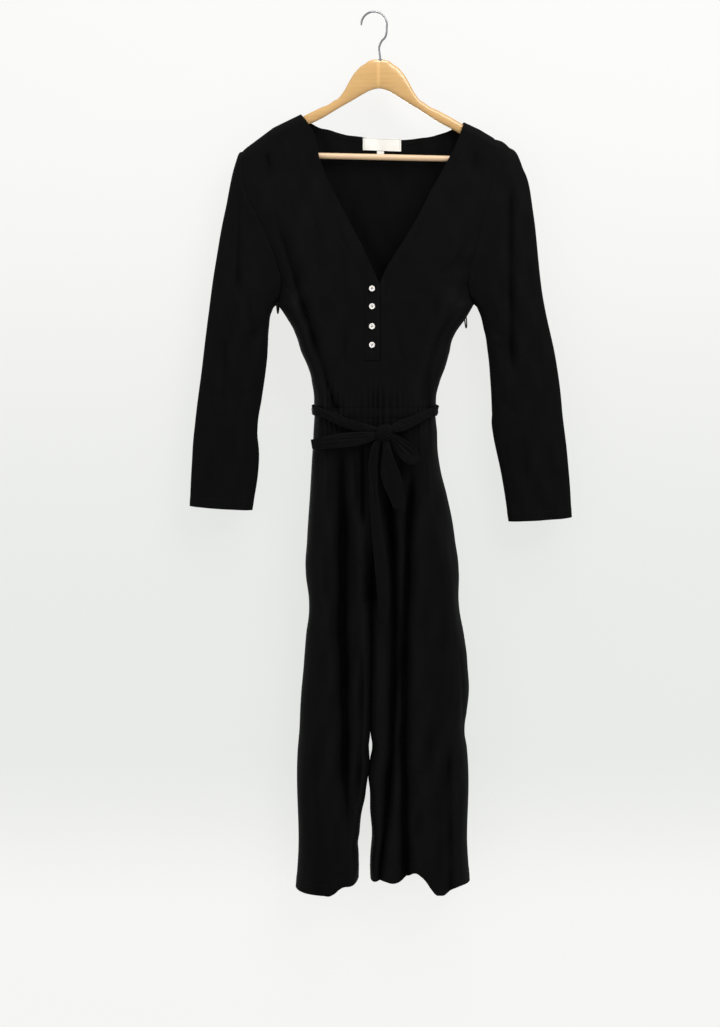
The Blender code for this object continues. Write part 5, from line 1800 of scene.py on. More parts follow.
# ==== the button stand
@dataclass
class ButtonStand:
    """The strip under the buttons, its four buttons and their holes."""

    across: Spot = (-0.0140, 0.0088)
    drops: Spot = (0.4112, 0.5260)
    lift: float = 0.0015
    wall_thickness: float = 0.0010
    turning: Turning = Turning(0.0030, 0.0002, 0.0, 0.0002)
    row: StitchRow = StitchRow(Edge.LAST, 0.0020)
    button_x: float = -0.003
    button_drops: tuple[float, ...] = (0.4168, 0.4440, 0.4745, 0.5030)
    button_turns: tuple[float, ...] = (0.2, -0.5, 0.9, 0.35)
    button_lift: float = 0.0024
    dish: float = 0.0034
    dish_depth: float = 0.0007
    radius: float = 0.0046
    thickness: float = 0.0022
    hole_offset: float = 0.00095
    hole_radius: float = 0.00055
    hole_depth: float = 0.0012
    thread_radius: float = 0.00017
    thread_apart: float = 0.00022
    past_hole: float = 1.25
    hole_thread: float = 0.00036
    buttonhole_half: Spot = (0.0013, 0.0064)

    def strip(self) -> Wall:
        """Lay the strip on the fronts.

        Returns:
            The strip's wall.
        """
        x, drop = np.broadcast_arrays(np.linspace(*self.across, 19)[None],
                                      np.linspace(*self.drops, 92)[:, None])
        share = (x - self.across[0]) / (self.across[1] - self.across[0])
        worn = 0.00025 * np.sin(drop * 210.0 + x * 190.0)
        flush = 1.0 - ramp(0.0, 0.35, share)
        lift = self.lift + (0.0003 + worn) * np.sin(pi * share) - 0.0007 * flush
        points = stacked(x, -bodice_depth(Face.FRONT, x, drop) - lift, -drop)
        return Wall("placket", points, wall=self.wall_thickness - 0.0005 * flush)

    def axes(self, x: float, drop: float, step: float = 0.004) -> tuple[Array, ...]:
        """Place and directions on the fronts.

        Args:
            x: across the body.
            drop: down the body.
            step: how far away the slope is read.

        Returns:
            The point, and the directions across, up and outward there.
        """
        spots = np.array(((x, drop), (x - step, drop), (x + step, drop), (x, drop - step),
                          (x, drop + step)))
        here, left, right, above, below = bodice_depth(Face.FRONT, *spots.T, plain=True)
        way = unit(np.array((-(right - left) / (2.0 * step), -1.0, (below - above) / (2.0 * step))))
        side = unit(np.cross((0.0, 0.0, 1.0), way))
        return np.array((x, -here, -drop)), side, np.cross(way, side), way

    def button(self, drop: float, turn: float) -> tuple[Shape, list[Array]]:
        """One four-hole button and the thread in its holes.

        Args:
            drop: where it is sewn.
            turn: how far its holes are turned.

        Returns:
            The button's points and faces, and the threads' points.
        """
        at, side, up, way = self.axes(self.button_x, drop)
        centre = at + way * (self.button_lift + self.thickness / 2.0)
        half = self.thickness / 2.0
        radii = np.concatenate((np.linspace(0.0, self.dish, 14)[1:],
                                (0.0036, 0.0039, 0.0043, self.radius)))
        angle = full_turn(48)
        rise = np.interp(radii, (0.0, 0.0033, 0.0036, 0.0041, 0.0044, self.radius),
                         (half - self.dish_depth, half - 0.0005, half, half, half - 0.0003, 0.0))
        across, along = radii[:, None] * np.cos(angle), radii[:, None] * np.sin(angle)
        height = rise[:, None] + 0.0 * across
        diagonal = 1.414 * self.hole_offset
        for spot in range(4):
            spin = turn + pi / 4.0 + pi / 2.0 * spot
            hole = np.hypot(across - diagonal * cos(spin), along - diagonal * sin(spin))
            sunk = 1.0 - ramp(0.6 * self.hole_radius, self.hole_radius, hole)
            height = height - self.hole_depth * sunk
        flat = stacked(across, along, height).reshape(-1, 3)

        def placed(local: Array) -> Array:
            """Points of the button at its place on the fronts."""
            return centre + local[:, :1] * side + local[:, 1:2] * up + local[:, 2:] * way

        threads = []
        for sign in (-1.0, 1.0):
            for offset in (-self.thread_apart, 0.0, self.thread_apart):
                reach = np.linspace(-self.past_hole, self.past_hole, 7) * self.hole_offset
                row = sign * self.hole_offset + offset + 0.0 * reach
                share = np.abs(reach) / self.hole_offset / self.past_hole
                arch = half - 0.0002 - 0.0009 * share ** 4
                threads.append(placed(stacked(row * cos(turn) - reach * sin(turn),
                                              row * sin(turn) + reach * cos(turn), arch)))
        points = placed(np.vstack(((0.0, 0.0, half - self.dish_depth), flat)))
        return (points, self.button_faces(len(radii), len(angle))), threads

    def button_faces(self, rings: int, around: int) -> list[tuple[int, ...]]:
        """Faces of a button: a fan at the middle, rings, and a flat back.

        Args:
            rings: rings of points round the middle point.
            around: points in a ring.

        Returns:
            Faces as tuples of point numbers.
        """
        fan = [(0, 1 + place, 1 + (place + 1) % around) for place in range(around)]
        sides = [tuple(corner + 1 for corner in face)
                 for face in tube_faces(rings, around, capped=False)]
        return fan + sides + [tuple(1 + (rings - 1) * around + place for place in range(around))]

    def buttonhole(self, drop: float) -> Shape:
        """A buttonhole's raised ring of thread.

        Args:
            drop: where it is.

        Returns:
            Its points and faces.
        """
        at, side, up, way = self.axes(self.button_x, drop + 0.0008)
        angle, turn = full_turn(40)[:, None], full_turn(6)[None, :, None]
        wide, tall = self.buttonhole_half
        ring = (at + way * (self.lift + 0.0005) + wide * np.cos(angle) * side
                + tall * np.sin(angle) * up)
        inward = unit(np.roll(ring, -1, axis=0) - np.roll(ring, 1, axis=0))
        out = np.cross(inward, way)
        knots = self.hole_thread * (1.0 + 0.18 * np.sin(np.arange(len(ring)) * 2.6))[:, None, None]
        points = ring[:, None] + knots * (np.cos(turn) * out[:, None] + np.sin(turn) * way)
        count, around = points.shape[:2]
        faces = [tuple(((step + a) % count) * around + (place + b) % around
                       for a, b in ((0, 0), (0, 1), (1, 1), (1, 0)))
                 for step in range(count) for place in range(around)]
        return points.reshape(-1, 3), faces

    def build(self) -> None:
        """Make the strip, its stitches, the buttonholes and the buttons."""
        wall = self.strip()
        self.turning.turn(wall, Edge.LAST)
        strip = wall.build(CREPE)
        strip.name = "placket_cloth"
        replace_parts(strip, "placket")
        sewn = stitches("stitches_placket", wall, self.row)
        ring = joined("buttonholes", [self.buttonhole(drop) for drop in self.button_drops], THREAD)
        for number, place in enumerate(zip(self.button_drops, self.button_turns), 1):
            shape, threads = self.button(*place)
            button = make_object(f"button_{number}_turned", *shape, PEARL, 38.0)
            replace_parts(button, f"button_{number}")
            joined(f"button_thread_{number}",
                   [tube(line, self.thread_radius, 6) for line in threads], THREAD)
        log.info("button stand: strip, %d buttons with thread and holes", len(self.button_drops))


# ==== the belt
@dataclass(frozen=True)
class Pleat:
    """A lengthwise crease in the tied belt, from one share of its length to another."""

    start: Spot
    end: Spot
    rise: float
    half_width: float = 0.13

    def height(self, along: Array, across: Array) -> Array:
        """Height of the crease.

        Args:
            along: 0 to 1 along the strip.
            across: -1 to 1 across it.

        Returns:
            The height at each place.
        """
        share = np.clip((along - self.start[0]) / (self.end[0] - self.start[0]), 0.0, 1.0)
        fade = both_ramps(0.0, 0.25, share, 1.0 - share)
        line = self.start[1] + (self.end[1] - self.start[1]) * share
        return self.rise * fade * bell((across - line) / self.half_width)


@dataclass(frozen=True)
class Strip:
    """One stretch of the belt, read from stations on its middle line.

    stations hold x, y, drop, width and lean, which turns the strip out of the front's plane;
    rows takes them in millimetres and thousandths of a radian.
    folded_back is how far behind itself the strip returns to the knot, 0 for a single strip.
    cut is the flat width and length of what shows; it is not used.
    """

    name: str
    stations: Array
    pleats: tuple[Pleat, ...]
    cut: Spot
    crown: float = 0.0016
    ripple: float = 0.00022
    folded_back: float = 0.0
    shift: float = 0.0
    slant: float = 0.0
    steps: int = 12
    columns: int = 18

    def path(self) -> Array:
        """The middle line's places, out and back again if the strip is a loop.

        Returns:
            x, y, drop, width and lean at each place.
        """
        table = numbered(self.stations)
        at = np.linspace(0.0, len(table) - 1.0, (len(table) - 1) * self.steps + 1)
        way = np.stack([read(table, column, at) for column in range(1, 6)], axis=1)
        if not self.folded_back:
            return way
        back = way[::-1].copy()
        share = np.linspace(0.0, 1.0, len(back))
        apart = np.sqrt(np.clip(share / 0.10, 0.0, 1.0)) * (1.0 - 0.35 * ramp(0.6, 1.0, share))
        back[:, 1] += self.folded_back * apart
        back[:, 2] += self.shift * ramp(0.02, 0.35, share) * (1.0 - 0.6 * ramp(0.7, 1.0, share))
        back[:, 3] *= 1.0 - 0.08 * ramp(0.0, 0.3, share)
        turn = way[-1].copy()
        turn[1] += 0.25 * self.folded_back
        turn[0] += 0.0009 * np.sign(way[-1, 0] - way[0, 0])
        return np.vstack((way, turn[None], back[2:]))

    def wall(self) -> Wall:
        """Widen the middle line into cloth, crowned and creased across its width.

        Returns:
            The strip's wall.
        """
        way = self.path()
        half = len(way) // 2
        run = np.gradient(way[:, :3], axis=0)
        if self.folded_back:
            run[half:] *= -1.0
        run = unit(stacked(run[:, 0], 0.0 * run[:, 0], -run[:, 2]))
        front = np.ones(len(way))
        if self.folded_back:
            run[half - 3:half + 4] = run[half - 4]
            front[half + 1:] = -0.6
            front[half - 2:half + 3] = 0.3
        side = stacked(-run[:, 2], 0.0 * run[:, 0], run[:, 0])
        lean = way[:, 4:5]
        side = unit(side * np.cos(lean) - np.array((0.0, 1.0, 0.0)) * np.sin(lean))
        across = np.sin(np.linspace(-0.5 * pi, 0.5 * pi, self.columns + 1))[None]
        length = run_length(way[:, :3])
        along = (length / length[-1])[:, None]
        rise = self.crown * (1.0 - across ** 2) + 0.0 * along
        for pleat in self.pleats:
            rise = rise + pleat.height(along, across)
        rise = rise + self.ripple * np.sin(along * 47.0 + across * 2.3) * (1.0 - across ** 2)
        centre = stacked(way[:, 0], way[:, 1], -way[:, 2])
        slanted = self.slant * across * ramp(0.80, 1.0, along)
        points = (centre[:, None] + side[:, None] * (0.5 * way[:, 3][:, None] * across)[..., None]
                  + np.array((0.0, -1.0, 0.0)) * (rise * front[:, None])[..., None]
                  + run[:, None] * slanted[..., None])
        return Wall(self.name, points, wall=CUT.belt_wall)


@dataclass
class Belt:
    """The tied belt: a stretch round the back, two to the knot, a bow and two free ends."""

    strips: tuple[Strip, ...] = (
        Strip("belt_left", rows(
            (-95, -18.3, 605, 16, 0), (-91.8, -28, 605, 15, 0), (-84, -37.5, 606.5, 14, 0),
            (-74, -45, 609.5, 14, 100), (-60, -50, 615, 15, 100), (-38, -52, 624, 15, 100),
            (-15, -53.5, 630, 14, 0), (5, -54.8, 634, 11, 0)),
            (Pleat((0.0, -0.3), (1.0, 0.1), -0.0011), Pleat((0.25, 0.5), (1.0, 0.5), -0.0008, 0.1),
             Pleat((0.3, -0.55), (0.95, -0.35), -0.0007, 0.1)), (0.0148, 0.1200)),
        Strip("belt_right", rows(
            (99.2, -17.1, 606, 16, 0), (96.6, -26.5, 606, 15, 0), (89.5, -35, 607.5, 14, 0),
            (79, -43, 611, 14, 0), (65, -49, 617.5, 15, 0), (48, -51.8, 624.5, 17, 100),
            (35, -53.2, 629, 15, 100), (26, -55.2, 633.5, 11, 0)),
            (Pleat((0.0, 0.2), (1.0, -0.2), -0.0011), Pleat((0.2, -0.5), (1.0, -0.5), -0.0008, 0.1),
             Pleat((0.35, 0.55), (1.0, 0.3), -0.0008, 0.1)), (0.0158, 0.0945)),
        Strip("belt_loop_left", rows(
            (4.2, -58, 640, 10, 100), (-14, -59, 644, 18, 100), (-40, -57.5, 647.5, 22, 100),
            (-66, -54.5, 651, 21, 0), (-85, -46.5, 655, 18, 0), (-96, -33, 657, 14, 0)),
            (Pleat((0.0, 0.1), (0.42, -0.35), -0.0014),
             Pleat((0.0, -0.4), (0.3, -0.6), -0.001, 0.1),
             Pleat((0.05, 0.45), (0.48, 0.35), -0.0009, 0.12),
             Pleat((0.55, 0.0), (1.0, 0.2), -0.001)),
            (0.0190, 0.2225), folded_back=0.0042, shift=0.0016),
        Strip("belt_loop_right", rows(
            (25.5, -58, 642, 12, 300), (36.5, -60, 652, 22, 300), (48.5, -61, 664, 27, 100),
            (60, -59.5, 675, 23, -200), (69, -57, 683, 11, -300)),
            (Pleat((0.0, 0.0), (0.46, 0.3), -0.0022, 0.14),
             Pleat((0.02, 0.5), (0.4, 0.75), -0.0014),
             Pleat((0.05, -0.45), (0.48, -0.25), -0.0016, 0.12),
             Pleat((0.16, -0.1), (0.5, -0.65), 0.0012, 0.14),
             Pleat((0.55, 0.0), (1.0, 0.1), -0.0012)),
            (0.0220, 0.1230), folded_back=0.0046, shift=0.0018),
        Strip("belt_tail_short", rows(
            (18, -57, 646.6, 10, 100), (20.5, -61.5, 667, 16, 300), (23.5, -61, 688, 25, 200),
            (27.5, -60, 708, 30, 100), (34.5, -58.5, 732, 25, 100), (40, -57.5, 756, 18, 0)),
            (Pleat((0.0, 0.0), (0.75, -0.25), -0.0016, 0.15),
             Pleat((0.0, 0.45), (0.6, 0.55), -0.001),
             Pleat((0.3, -0.6), (0.9, -0.5), -0.0008, 0.1)),
            (0.0225, 0.1130), slant=0.0040, steps=14),
        Strip("belt_tail_long", rows(
            (9.8, -56, 645.6, 8, -100), (0.5, -57, 670, 14, -200), (-0.5, -56, 715, 14, -100),
            (3, -55.5, 765, 16, 0), (8.5, -56, 820, 19, 100), (13.5, -57.5, 875, 19, 200),
            (15.5, -58.5, 915, 16, 300), (16.5, -59, 940, 8, 300)),
            (Pleat((0.0, 0.0), (0.42, 0.2), -0.0015, 0.15), Pleat((0.0, -0.5), (0.3, -0.4), -0.001),
             Pleat((0.35, -0.3), (0.85, 0.25), -0.001, 0.16),
             Pleat((0.6, 0.6), (1.0, 0.4), -0.0008)),
            (0.0169, 0.2980), steps=16))
    stitch_inset: float = 0.0015
    back_height: float = 0.020
    back_drop: float = 0.606
    back_stand_off: float = 0.0012
    back_crown: float = 0.0009
    knot_centre: Place = (0.0155, -0.0565, 0.6370)
    knot_half: Place = (0.0116, 0.0074, 0.0120)
    # columns: where round the knot a crease starts, its slope, depth and half width
    knot_creases: tuple[tuple[float, ...], ...] = (
        (-1.05, 0.55, 0.17, 0.16), (-0.48, 0.50, 0.20, 0.14), (0.02, 0.62, 0.15, 0.14),
        (0.62, 0.45, 0.19, 0.17), (1.15, 0.40, 0.12, 0.20), (2.4, -0.40, 0.08, 0.25))

    def back(self) -> Wall:
        """The stretch round the sides and back, standing just off the gathers.

        Returns:
            The stretch's wall.
        """
        left, right = (float(x) for x in body_sides(CUT.waist_top))
        x = left + (right - left) * spread(even(110))
        wrap = np.array((0.0010, 0.0028))

        def level_line(face: Face, x: Array) -> Array:
            """Places (x, y) on one face at the waist, without its gathers."""
            depth = bodice_depth(face, x, np.full_like(x, CUT.waist_top), plain=True)
            return stacked(x, face.sign * depth)

        outline = np.vstack((level_line(Face.FRONT, left + wrap)[::-1], level_line(Face.BACK, x),
                             level_line(Face.FRONT, right - wrap)))
        run = unit(np.gradient(outline, axis=0))
        outward = stacked(-run[:, 1], run[:, 0])
        across, place = np.linspace(-1.0, 1.0, 15)[:, None], outline[:, 0]
        crease = (0.0007 * bell((across - 0.25 - 0.2 * np.sin(place * 40.0)) / 0.14)
                  + 0.0006 * bell((across + 0.45 + 0.1 * np.sin(place * 65.0)) / 0.12))
        away = ramp(0.0, 0.014, np.minimum(place - left, right - place))
        crown = self.back_crown * (1.0 - across ** 2)
        lift = CUT.belt_wall + self.back_stand_off + 0.0014 * away + crown - crease
        spot = outline[None] + outward[None] * lift[..., None]
        tall = 0.5 * self.back_height * (0.70 + 0.30 * away)
        drop = self.back_drop + tall * across + 0.0 * place[None]
        return Wall("belt_back", stacked(spot[..., 0], spot[..., 1], -drop), flip=True,
                    wall=CUT.belt_wall)

    def knot(self) -> Wall:
        """The wrap of the knot: a short wide band round the strands, creased aslant.

        Returns:
            The wrap's wall.
        """
        along = np.sin(np.linspace(-0.5 * pi, 0.5 * pi, 41))[:, None]
        around = full_turn(72)[None]
        closing = np.clip(1.0 - np.abs(along) ** 3.2, 0.0, 1.0) ** 0.62
        size = (0.56 + 0.44 * closing) * (1.0 + 0.10 * along)
        crease = 0.0 * along * around
        for centre, slope, depth, width in self.knot_creases:
            gap = np.angle(np.exp(1j * (around - centre - slope * along)))
            crease = crease + depth * bell(gap / width) * (1.0 - 0.5 * along ** 2)
        reach = size * (1.0 - crease) * (1.0 + 0.05 * np.cos(2.0 * around + 0.8 * along))
        (at_x, at_y, at_drop), (half_x, half_y, half_z) = self.knot_centre, self.knot_half
        x = at_x + half_x * along + 0.0 * around
        forward = np.sign(np.cos(around)) * np.abs(np.cos(around)) ** 0.85
        y = at_y - half_y * reach * forward
        z = -at_drop + 0.10 * (x - at_x) + half_z * reach * np.sin(around)
        return Wall("belt_knot", stacked(x, y, z), flip=True, closed=True, wall=CUT.belt_wall)

    def edge_rows(self, *edges: Edge) -> list[StitchRow]:
        """The rows of stitches close beside some edges."""
        return [StitchRow(edge, self.stitch_inset) for edge in edges]

    def build(self) -> None:
        """Make every stretch of the belt, its edge stitches and the knot."""
        for strip in self.strips:
            wall = strip.wall()
            sewn = stitches(f"stitches_{strip.name}", wall, *self.edge_rows(Edge.FIRST, Edge.LAST))
            piece = wall.build(CREPE)
            piece.name = f"{strip.name}_cloth"
            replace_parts(piece, strip.name)
        wall = self.back()
        sewn = stitches("stitches_belt_back", wall, *self.edge_rows(Edge.TOP, Edge.BOTTOM))
        piece = wall.build(CREPE)
        piece.name = "belt_back_cloth"
        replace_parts(piece, "belt_back")
        knot = self.knot().build(CREPE)
        knot.name = "belt_knot_wrap"
        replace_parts(knot, "belt_knot")
        log.info("belt: %d stretches and the knot", len(self.strips) + 1)


# ==== the label
@dataclass
class NeckLabel:
    """A blank woven label with its ends folded under, and a blank tab below it."""

    across: Spot = (-0.017, 0.042)
    drops: Spot = (0.1865, 0.2055)
    tab_across: Spot = (0.0050, 0.0155)
    tab_drops: Spot = (0.2059, 0.2175)
    slope: float = 0.035
    stand_off: float = 0.0011
    thickness: float = 0.0007

    def patch(self, name: str, across: Spot, drops: Spot,
              curl: float) -> Wall:
        """A flat patch just inside the back's inner face, a little askew.

        Args:
            name: the piece's name.
            across: its x range.
            drops: its drop range.
            curl: how far its lower edge stands off.

        Returns:
            The patch's wall.
        """
        x, drop = np.broadcast_arrays(np.linspace(*across, 61)[None],
                                      np.linspace(*drops, 25)[:, None])
        share = (x - across[0]) / (across[1] - across[0])
        down = (drop - drops[0]) / (drops[1] - drops[0])
        ends = 0.00030 * (bell(share / 0.07) + bell((1.0 - share) / 0.07))
        off = (CUT.wall + self.thickness + self.stand_off + ends + curl * down ** 2
               + 0.0003 * np.sin(share * 9.0 + 1.0) * down)
        y = bodice_depth(Face.BACK, x, drop + 0.003) - off
        points = stacked(x, y, -(drop + self.slope * (x - self.across[0])))
        return Wall(name, points, wall=self.thickness)

    def build(self) -> None:
        """Make the label, its stitches and the tab."""
        wall = self.patch("neck_label_woven", self.across, self.drops, 0.0006)
        insets = {Edge.TOP: 0.0014, Edge.FIRST: 0.0020, Edge.LAST: 0.0020}
        sewn = stitches("stitches_label", wall, *(StitchRow(edge, inset, 0.0022, 0.0016)
                                                  for edge, inset in insets.items()))
        piece = wall.build(LABEL)
        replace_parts(piece, "neck_label")
        tab = self.patch("size_tab_woven", self.tab_across, self.tab_drops, 0.0009).build(LABEL)
        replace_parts(tab, "size_tab")
        log.info("neck label and tab, both blank")


# ==== the hanger
@dataclass
class Hanger:
    """The wooden hanger, its bar and its steel hook."""

    x: float = 0.008
    tilt: float = radians(1.3)
    thickness: float = 0.0115
    tip_thickness: float = 0.0025
    edge_powers: Spot = (0.93, 0.72)
    around: int = 40
    wire: float = 0.0016
    wire_end: tuple[float, ...] = (0.95, 0.80, 0.55, 0.20)
    bend: float = 0.0195
    bend_centre: Spot = (0.0, 0.0179)
    # columns: distance out from the middle, drop of the top, drop of the bottom
    arm: Array = field(default_factory=lambda: rows(
        (0, 70, 113), (10, 70.2, 115.2), (22, 76.8, 120.8), (34, 86.5, 127.9), (45, 102, 134.4),
        (55, 119.5, 140.2), (70, 133.5, 149.2), (90, 144, 161.2), (110, 154, 171),
        (130, 164.8, 182), (150, 174, 192.5), (164, 182, 201), (172, 186.7, 218), (185, 195, 223),
        (197, 205, 222), (203, 213.5, 219)))
    # columns: x and drop from the foot of the shank
    shank: Array = field(default_factory=lambda: rows(
        (1.5, 4), (1.5, 0), (0.4, -10), (-0.2, -15.5), (1, -22), (4.5, -29)))
    # columns: height above the wood, radius
    washer: Array = field(default_factory=lambda: rows(
        (1, 1.6), (1, 3), (0.4, 3.6), (-0.8, 3.8), (-1.4, 3.6)))

    def hang(self, out: Array, drop: Array) -> tuple[Array, Array]:
        """Turn a point of the level hanger to where it hangs."""
        return self.x + out * cos(self.tilt), drop + out * sin(self.tilt)

    def wood(self) -> bpy.types.Object:
        """The curved wooden arms, one loft with eased edges from tip to tip.

        Returns:
            The wood.
        """
        reach = self.arm[-1, 0]
        even_out = np.linspace(-1.0, 1.0, 281)
        out = reach * (even_out + 0.05 * np.sin(tau * even_out) / pi)
        top, bottom = (read(self.arm, column, np.abs(out)) for column in (1, 2))
        middle, half = (top + bottom) / 2.0, (bottom - top) / 2.0
        thick = np.minimum(self.thickness / 2.0, self.tip_thickness + half)
        angle = full_turn(self.around)[None]
        high, deep = (np.sign(wave) * np.abs(wave) ** power
                      for wave, power in zip((np.cos(angle), np.sin(angle)), self.edge_powers))
        x, drop = self.hang(out[:, None] + 0.0 * angle, middle[:, None] - half[:, None] * high)
        points = stacked(x, thick[:, None] * deep, -drop).reshape(-1, 3)
        wood = make_object("hanger_wood", points, tube_faces(len(out), self.around), BEECH, 60.0)
        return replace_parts(wood, "hanger_body")

    def hook(self) -> bpy.types.Object:
        """The steel wire: a shank that swings out into an open bend over the seat.

        Returns:
            The wire.
        """
        foot = np.array(self.hang(np.array(0.0), self.arm[0, 1]))
        table = numbered(foot + self.shank)
        at = np.linspace(0.0, len(table) - 1.0, 41)
        line = stacked(read(table, 1, at), 0.0 * at, -read(table, 2, at))
        off_x, off_z = line[-1, 0] - self.bend_centre[0], line[-1, 2] + self.bend_centre[1]
        start = np.arctan2(off_z, off_x)
        step = np.linspace(0.0, 1.0, 91)[1:]
        angle = start + (pi + 0.06 - start) * step
        blend = ramp(0.0, 0.22, step)
        reach = self.bend * blend + (1.0 - blend) * np.hypot(off_x, off_z)
        arc = stacked(self.bend_centre[0] + reach * np.cos(angle), 0.0 * angle,
                      -self.bend_centre[1] + reach * np.sin(angle))
        line = np.vstack((line, arc))
        radius = np.full(len(line), self.wire)
        radius[-4:] = self.wire * np.array(self.wire_end)
        points, faces = tube(line, radius, 20)
        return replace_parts(make_object("hanger_wire", points, faces, STEEL), "hanger_hook")

    def collar(self) -> bpy.types.Object:
        """The small steel washer where the wire enters the wood.

        Returns:
            The washer.
        """
        foot_x, foot_drop = self.hang(np.array(0.0015), self.arm[0, 1])
        height, radius = self.washer.T
        line = stacked(foot_x + 0.0 * height, 0.0 * height,
                       -foot_drop + height + 1e-5 * np.arange(5)[::-1])
        points, faces = tube(line, radius, 32)
        return make_object("hook_washer", points, faces, STEEL, 30.0)

    def build(self) -> None:
        """Make the wood and the hook, and give the bar its finish."""
        self.wood()
        self.hook()
        self.collar()
        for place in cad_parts["hanger_bar"].material_slots:
            place.material = PALE_ROD.material()
        log.info("hanger: wood, hook and washer; the bar keeps its solid")


# ==== the studio
@dataclass(frozen=True)
class Lamp:
    """A large soft round lamp: where it stands and points, its width, watts and colour."""

    name: str
    spot: Place
    aim: Place
    size: float
    power: float
    colour: Colour = (1.0, 1.0, 1.0)

    def build(self) -> None:
        """Make the lamp."""
        data = bpy.data.lights.new(self.name, "AREA")
        data.shape, data.size, data.energy, data.color = "DISK", self.size, self.power, self.colour
        item = bpy.data.objects.new(self.name, data)
        item.location = self.spot
        away = Vector(self.aim) - Vector(self.spot)
        item.rotation_euler = away.to_track_quat("-Z", "Y").to_euler()
        bpy.context.scene.collection.objects.link(item)


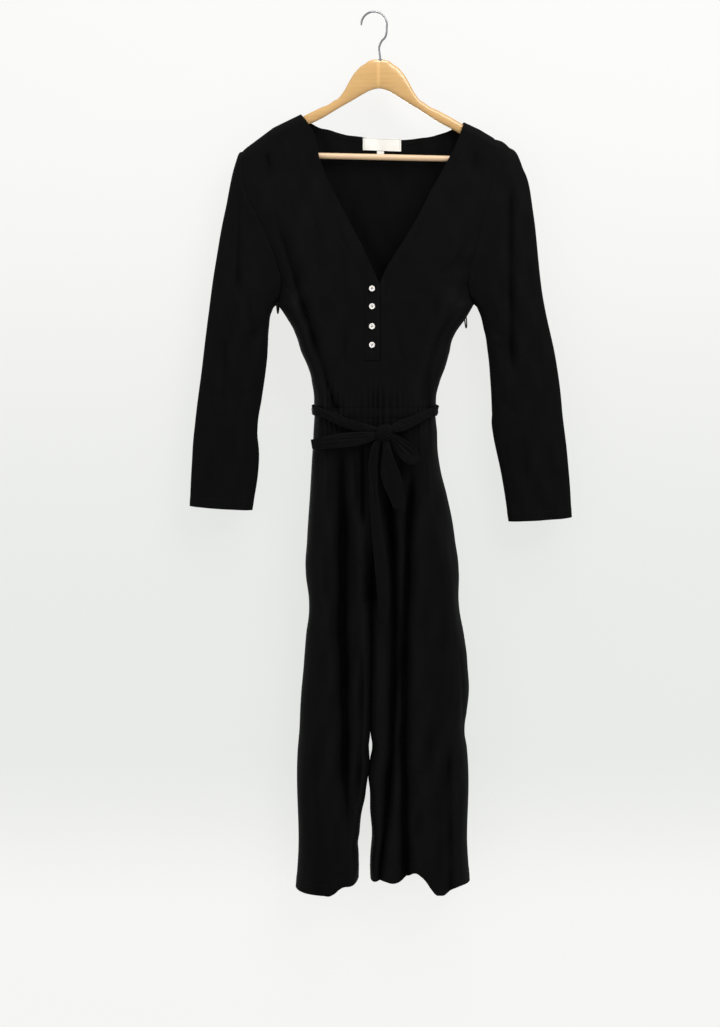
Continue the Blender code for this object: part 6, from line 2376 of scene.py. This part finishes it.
@dataclass
class Studio:
    """A plain pale room: a glowing wall close behind, with painted shade in a band behind the
    garment, a floor below, and soft light.
    """

    wall_y: float = 0.050
    wall_centre: Spot = (0.0, -0.66)
    wall_half: float = 3.2
    floor_half: float = 2.6
    floor_z: float = -1.76
    paint: Colour = (0.10, 0.10, 0.099)
    glow: Colour = (0.818, 0.818, 0.805)
    # painted shade: the dimmer glow of the wall's band behind the garment
    painted_shade_glow: Colour = (0.710, 0.723, 0.708)
    sky: float = 0.75
    sky_colour: tuple[float, ...] = (0.93, 0.93, 0.915, 1.0)
    lamps: tuple[Lamp, ...] = (
        Lamp("key", (1.4, -2.0, 1.3), (0.0, 0.0, -0.6), 1.5, 42.0, (1.0, 0.99, 0.97)),
        Lamp("top", (0.2, -1.0, 1.5), (0.0, 0.0, -0.25), 0.9, 20.0),
        Lamp("fill", (-2.2, -2.2, 0.4), (0.0, 0.0, -0.7), 1.8, 14.0, (0.97, 0.98, 1.0)),
        Lamp("back", (-0.8, 3.0, -0.4), (0.0, 0.0, -0.7), 1.6, 45.0))
    lens: float = 67.7
    eye: Place = (-0.0214, -3.02, -0.346)
    pitch: float = radians(82.0)

    def surface(self, name: str, corners: Sequence[Sequence[float]], reach: float,
                one_sided: bool) -> None:
        """A pale surface that fades out towards its border.

        Args:
            name: the surface's name.
            corners: its four corners.
            reach: distance from its middle at which it has faded out.
            one_sided: True makes its back see-through.
        """
        mesh = bpy.data.meshes.new(name)
        mesh.from_pydata(corners, [], [(0, 1, 2, 3)])
        item = bpy.data.objects.new(name, mesh)
        bpy.context.scene.collection.objects.link(item)
        graph = Graph(name)
        grain = graph.noise(graph.place(), 9.0, 2.0)
        shade = graph.blend(grain, self.paint, tuple(0.985 * part for part in self.paint))
        height = graph.part(graph.place(), "Z")
        # painted shade: the wall's glow dims in a band from 0.1 m to 1.45 m below the hook, most
        # from 0.95 m to 1.15 m, behind the legs
        painted_shade_band = height.ramp(-0.95, -0.10, 1.0, 0.0) * height.ramp(-1.45, -1.15)
        bare = graph.node("ShaderNodeBsdfTransparent")
        middle = np.mean(corners, axis=0)
        border = graph.place().moved(*(-part for part in middle)).length()
        share = border.ramp(0.7 * reach, reach)
        if one_sided:
            behind = graph.node("ShaderNodeNewGeometry", {}, {}, "Backfacing")
            share = share.math("MAXIMUM", behind)
        mix = graph.node("ShaderNodeMixShader", {}, {0: share, 2: bare})
        graph.tree.links.new(graph.shader.outputs[0], mix.source.node.inputs[1])
        graph.tree.links.new(mix.source, graph.output.inputs["Surface"])
        graph.dress({
            "Base Color": shade, "Roughness": 0.9, "Specular IOR Level": 0.15,
            "Emission Color": graph.blend(painted_shade_band, self.glow, self.painted_shade_glow), "Emission Strength": 1.0})
        mesh.materials.append(graph.material)
        item.visible_shadow = item.visible_diffuse = item.visible_glossy = False

    def camera(self) -> None:
        """A long lens in front of the chest, looking a little down."""
        data = bpy.data.cameras.new("camera")
        data.lens, data.sensor_width, data.sensor_fit = self.lens, 36.0, "AUTO"
        data.clip_start, data.clip_end = 0.05, 50.0
        item = bpy.data.objects.new("camera", data)
        item.location = self.eye
        item.rotation_euler = Euler((self.pitch, 0.0, 0.0))
        bpy.context.scene.collection.objects.link(item)
        bpy.context.scene.camera = item
        bpy.context.scene.view_settings.view_transform = "Standard"

    def build(self) -> None:
        """Make the surfaces, the lights, the sky and the camera."""
        (x, z), half, wide = self.wall_centre, self.wall_half, self.floor_half
        turns = ((-1.0, -1.0), (1.0, -1.0), (1.0, 1.0), (-1.0, 1.0))
        self.surface("studio_wall", [(x + half * a, self.wall_y, z + half * b) for a, b in turns],
                     half, True)
        self.surface("studio_floor", [(wide * a, wide * b, self.floor_z) for a, b in turns],
                     wide, False)
        world = bpy.data.worlds.new("pale room")
        bpy.context.scene.world = world
        world.use_nodes = True
        ground = world.node_tree.nodes["Background"]
        ground.inputs["Color"].default_value = self.sky_colour
        ground.inputs["Strength"].default_value = self.sky
        for lamp in self.lamps:
            lamp.build()
        self.camera()
        log.info("studio: wall, floor, four soft lamps, sky and camera")


def lay(wall: Wall, *sewn: bpy.types.Object) -> bpy.types.Object:
    """Build a cloth panel in place of its solid.

    Args:
        wall: the panel's wall.
        sewn: the stitches on it; not used.

    Returns:
        The panel's object.
    """
    piece = wall.build(CREPE)
    piece.name = f"{wall.name}_cloth"
    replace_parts(piece, wall.name)
    log.info("%s: %d faces", piece.name, len(piece.data.polygons))
    return piece


def dress_cloth() -> None:
    """Build the sewn panels: bodice, sleeves, trousers and casing."""
    bodice, trousers = Bodice(), Trousers()
    fronts = [bodice.front(hand) for hand in Hand]
    back = bodice.back()
    sleeves = [Sleeve(hand) for hand in Hand]
    tubes = [sleeve.wall() for sleeve in sleeves]
    casing = trousers.casing()
    legs = [trousers.panel(hand, face) for hand in Hand for face in Face]
    share_directions([*fronts, back, *tubes, casing, *legs])
    sewn = [bodice.finish_front(wall) for wall in fronts] + [bodice.finish_back(back)]
    for wall, row in zip((*fronts, back), sewn):
        lay(wall, row)
    for sleeve, wall in zip(sleeves, tubes):
        lay(wall, sleeve.finish(wall))
    press(casing, Edge.TOP, Edge.BOTTOM, depth=0.0002)
    lay(casing)
    for wall in legs:
        lay(wall, trousers.finish(wall))


def main() -> None:
    """Build the studio and the jumpsuit, piece by piece."""
    logging.basicConfig(level=logging.INFO, format="%(name)s: %(message)s")
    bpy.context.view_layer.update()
    Studio().build()
    dress_cloth()
    UnderarmLoops().build()
    ButtonStand().build()
    Belt().build()
    NeckLabel().build()
    Hanger().build()


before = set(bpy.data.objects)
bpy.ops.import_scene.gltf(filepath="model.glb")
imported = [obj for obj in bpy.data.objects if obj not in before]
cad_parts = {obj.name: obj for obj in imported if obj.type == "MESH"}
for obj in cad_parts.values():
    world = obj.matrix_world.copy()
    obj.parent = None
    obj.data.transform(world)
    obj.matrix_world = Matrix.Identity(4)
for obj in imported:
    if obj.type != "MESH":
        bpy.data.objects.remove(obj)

if __name__ == "__main__":
    main()
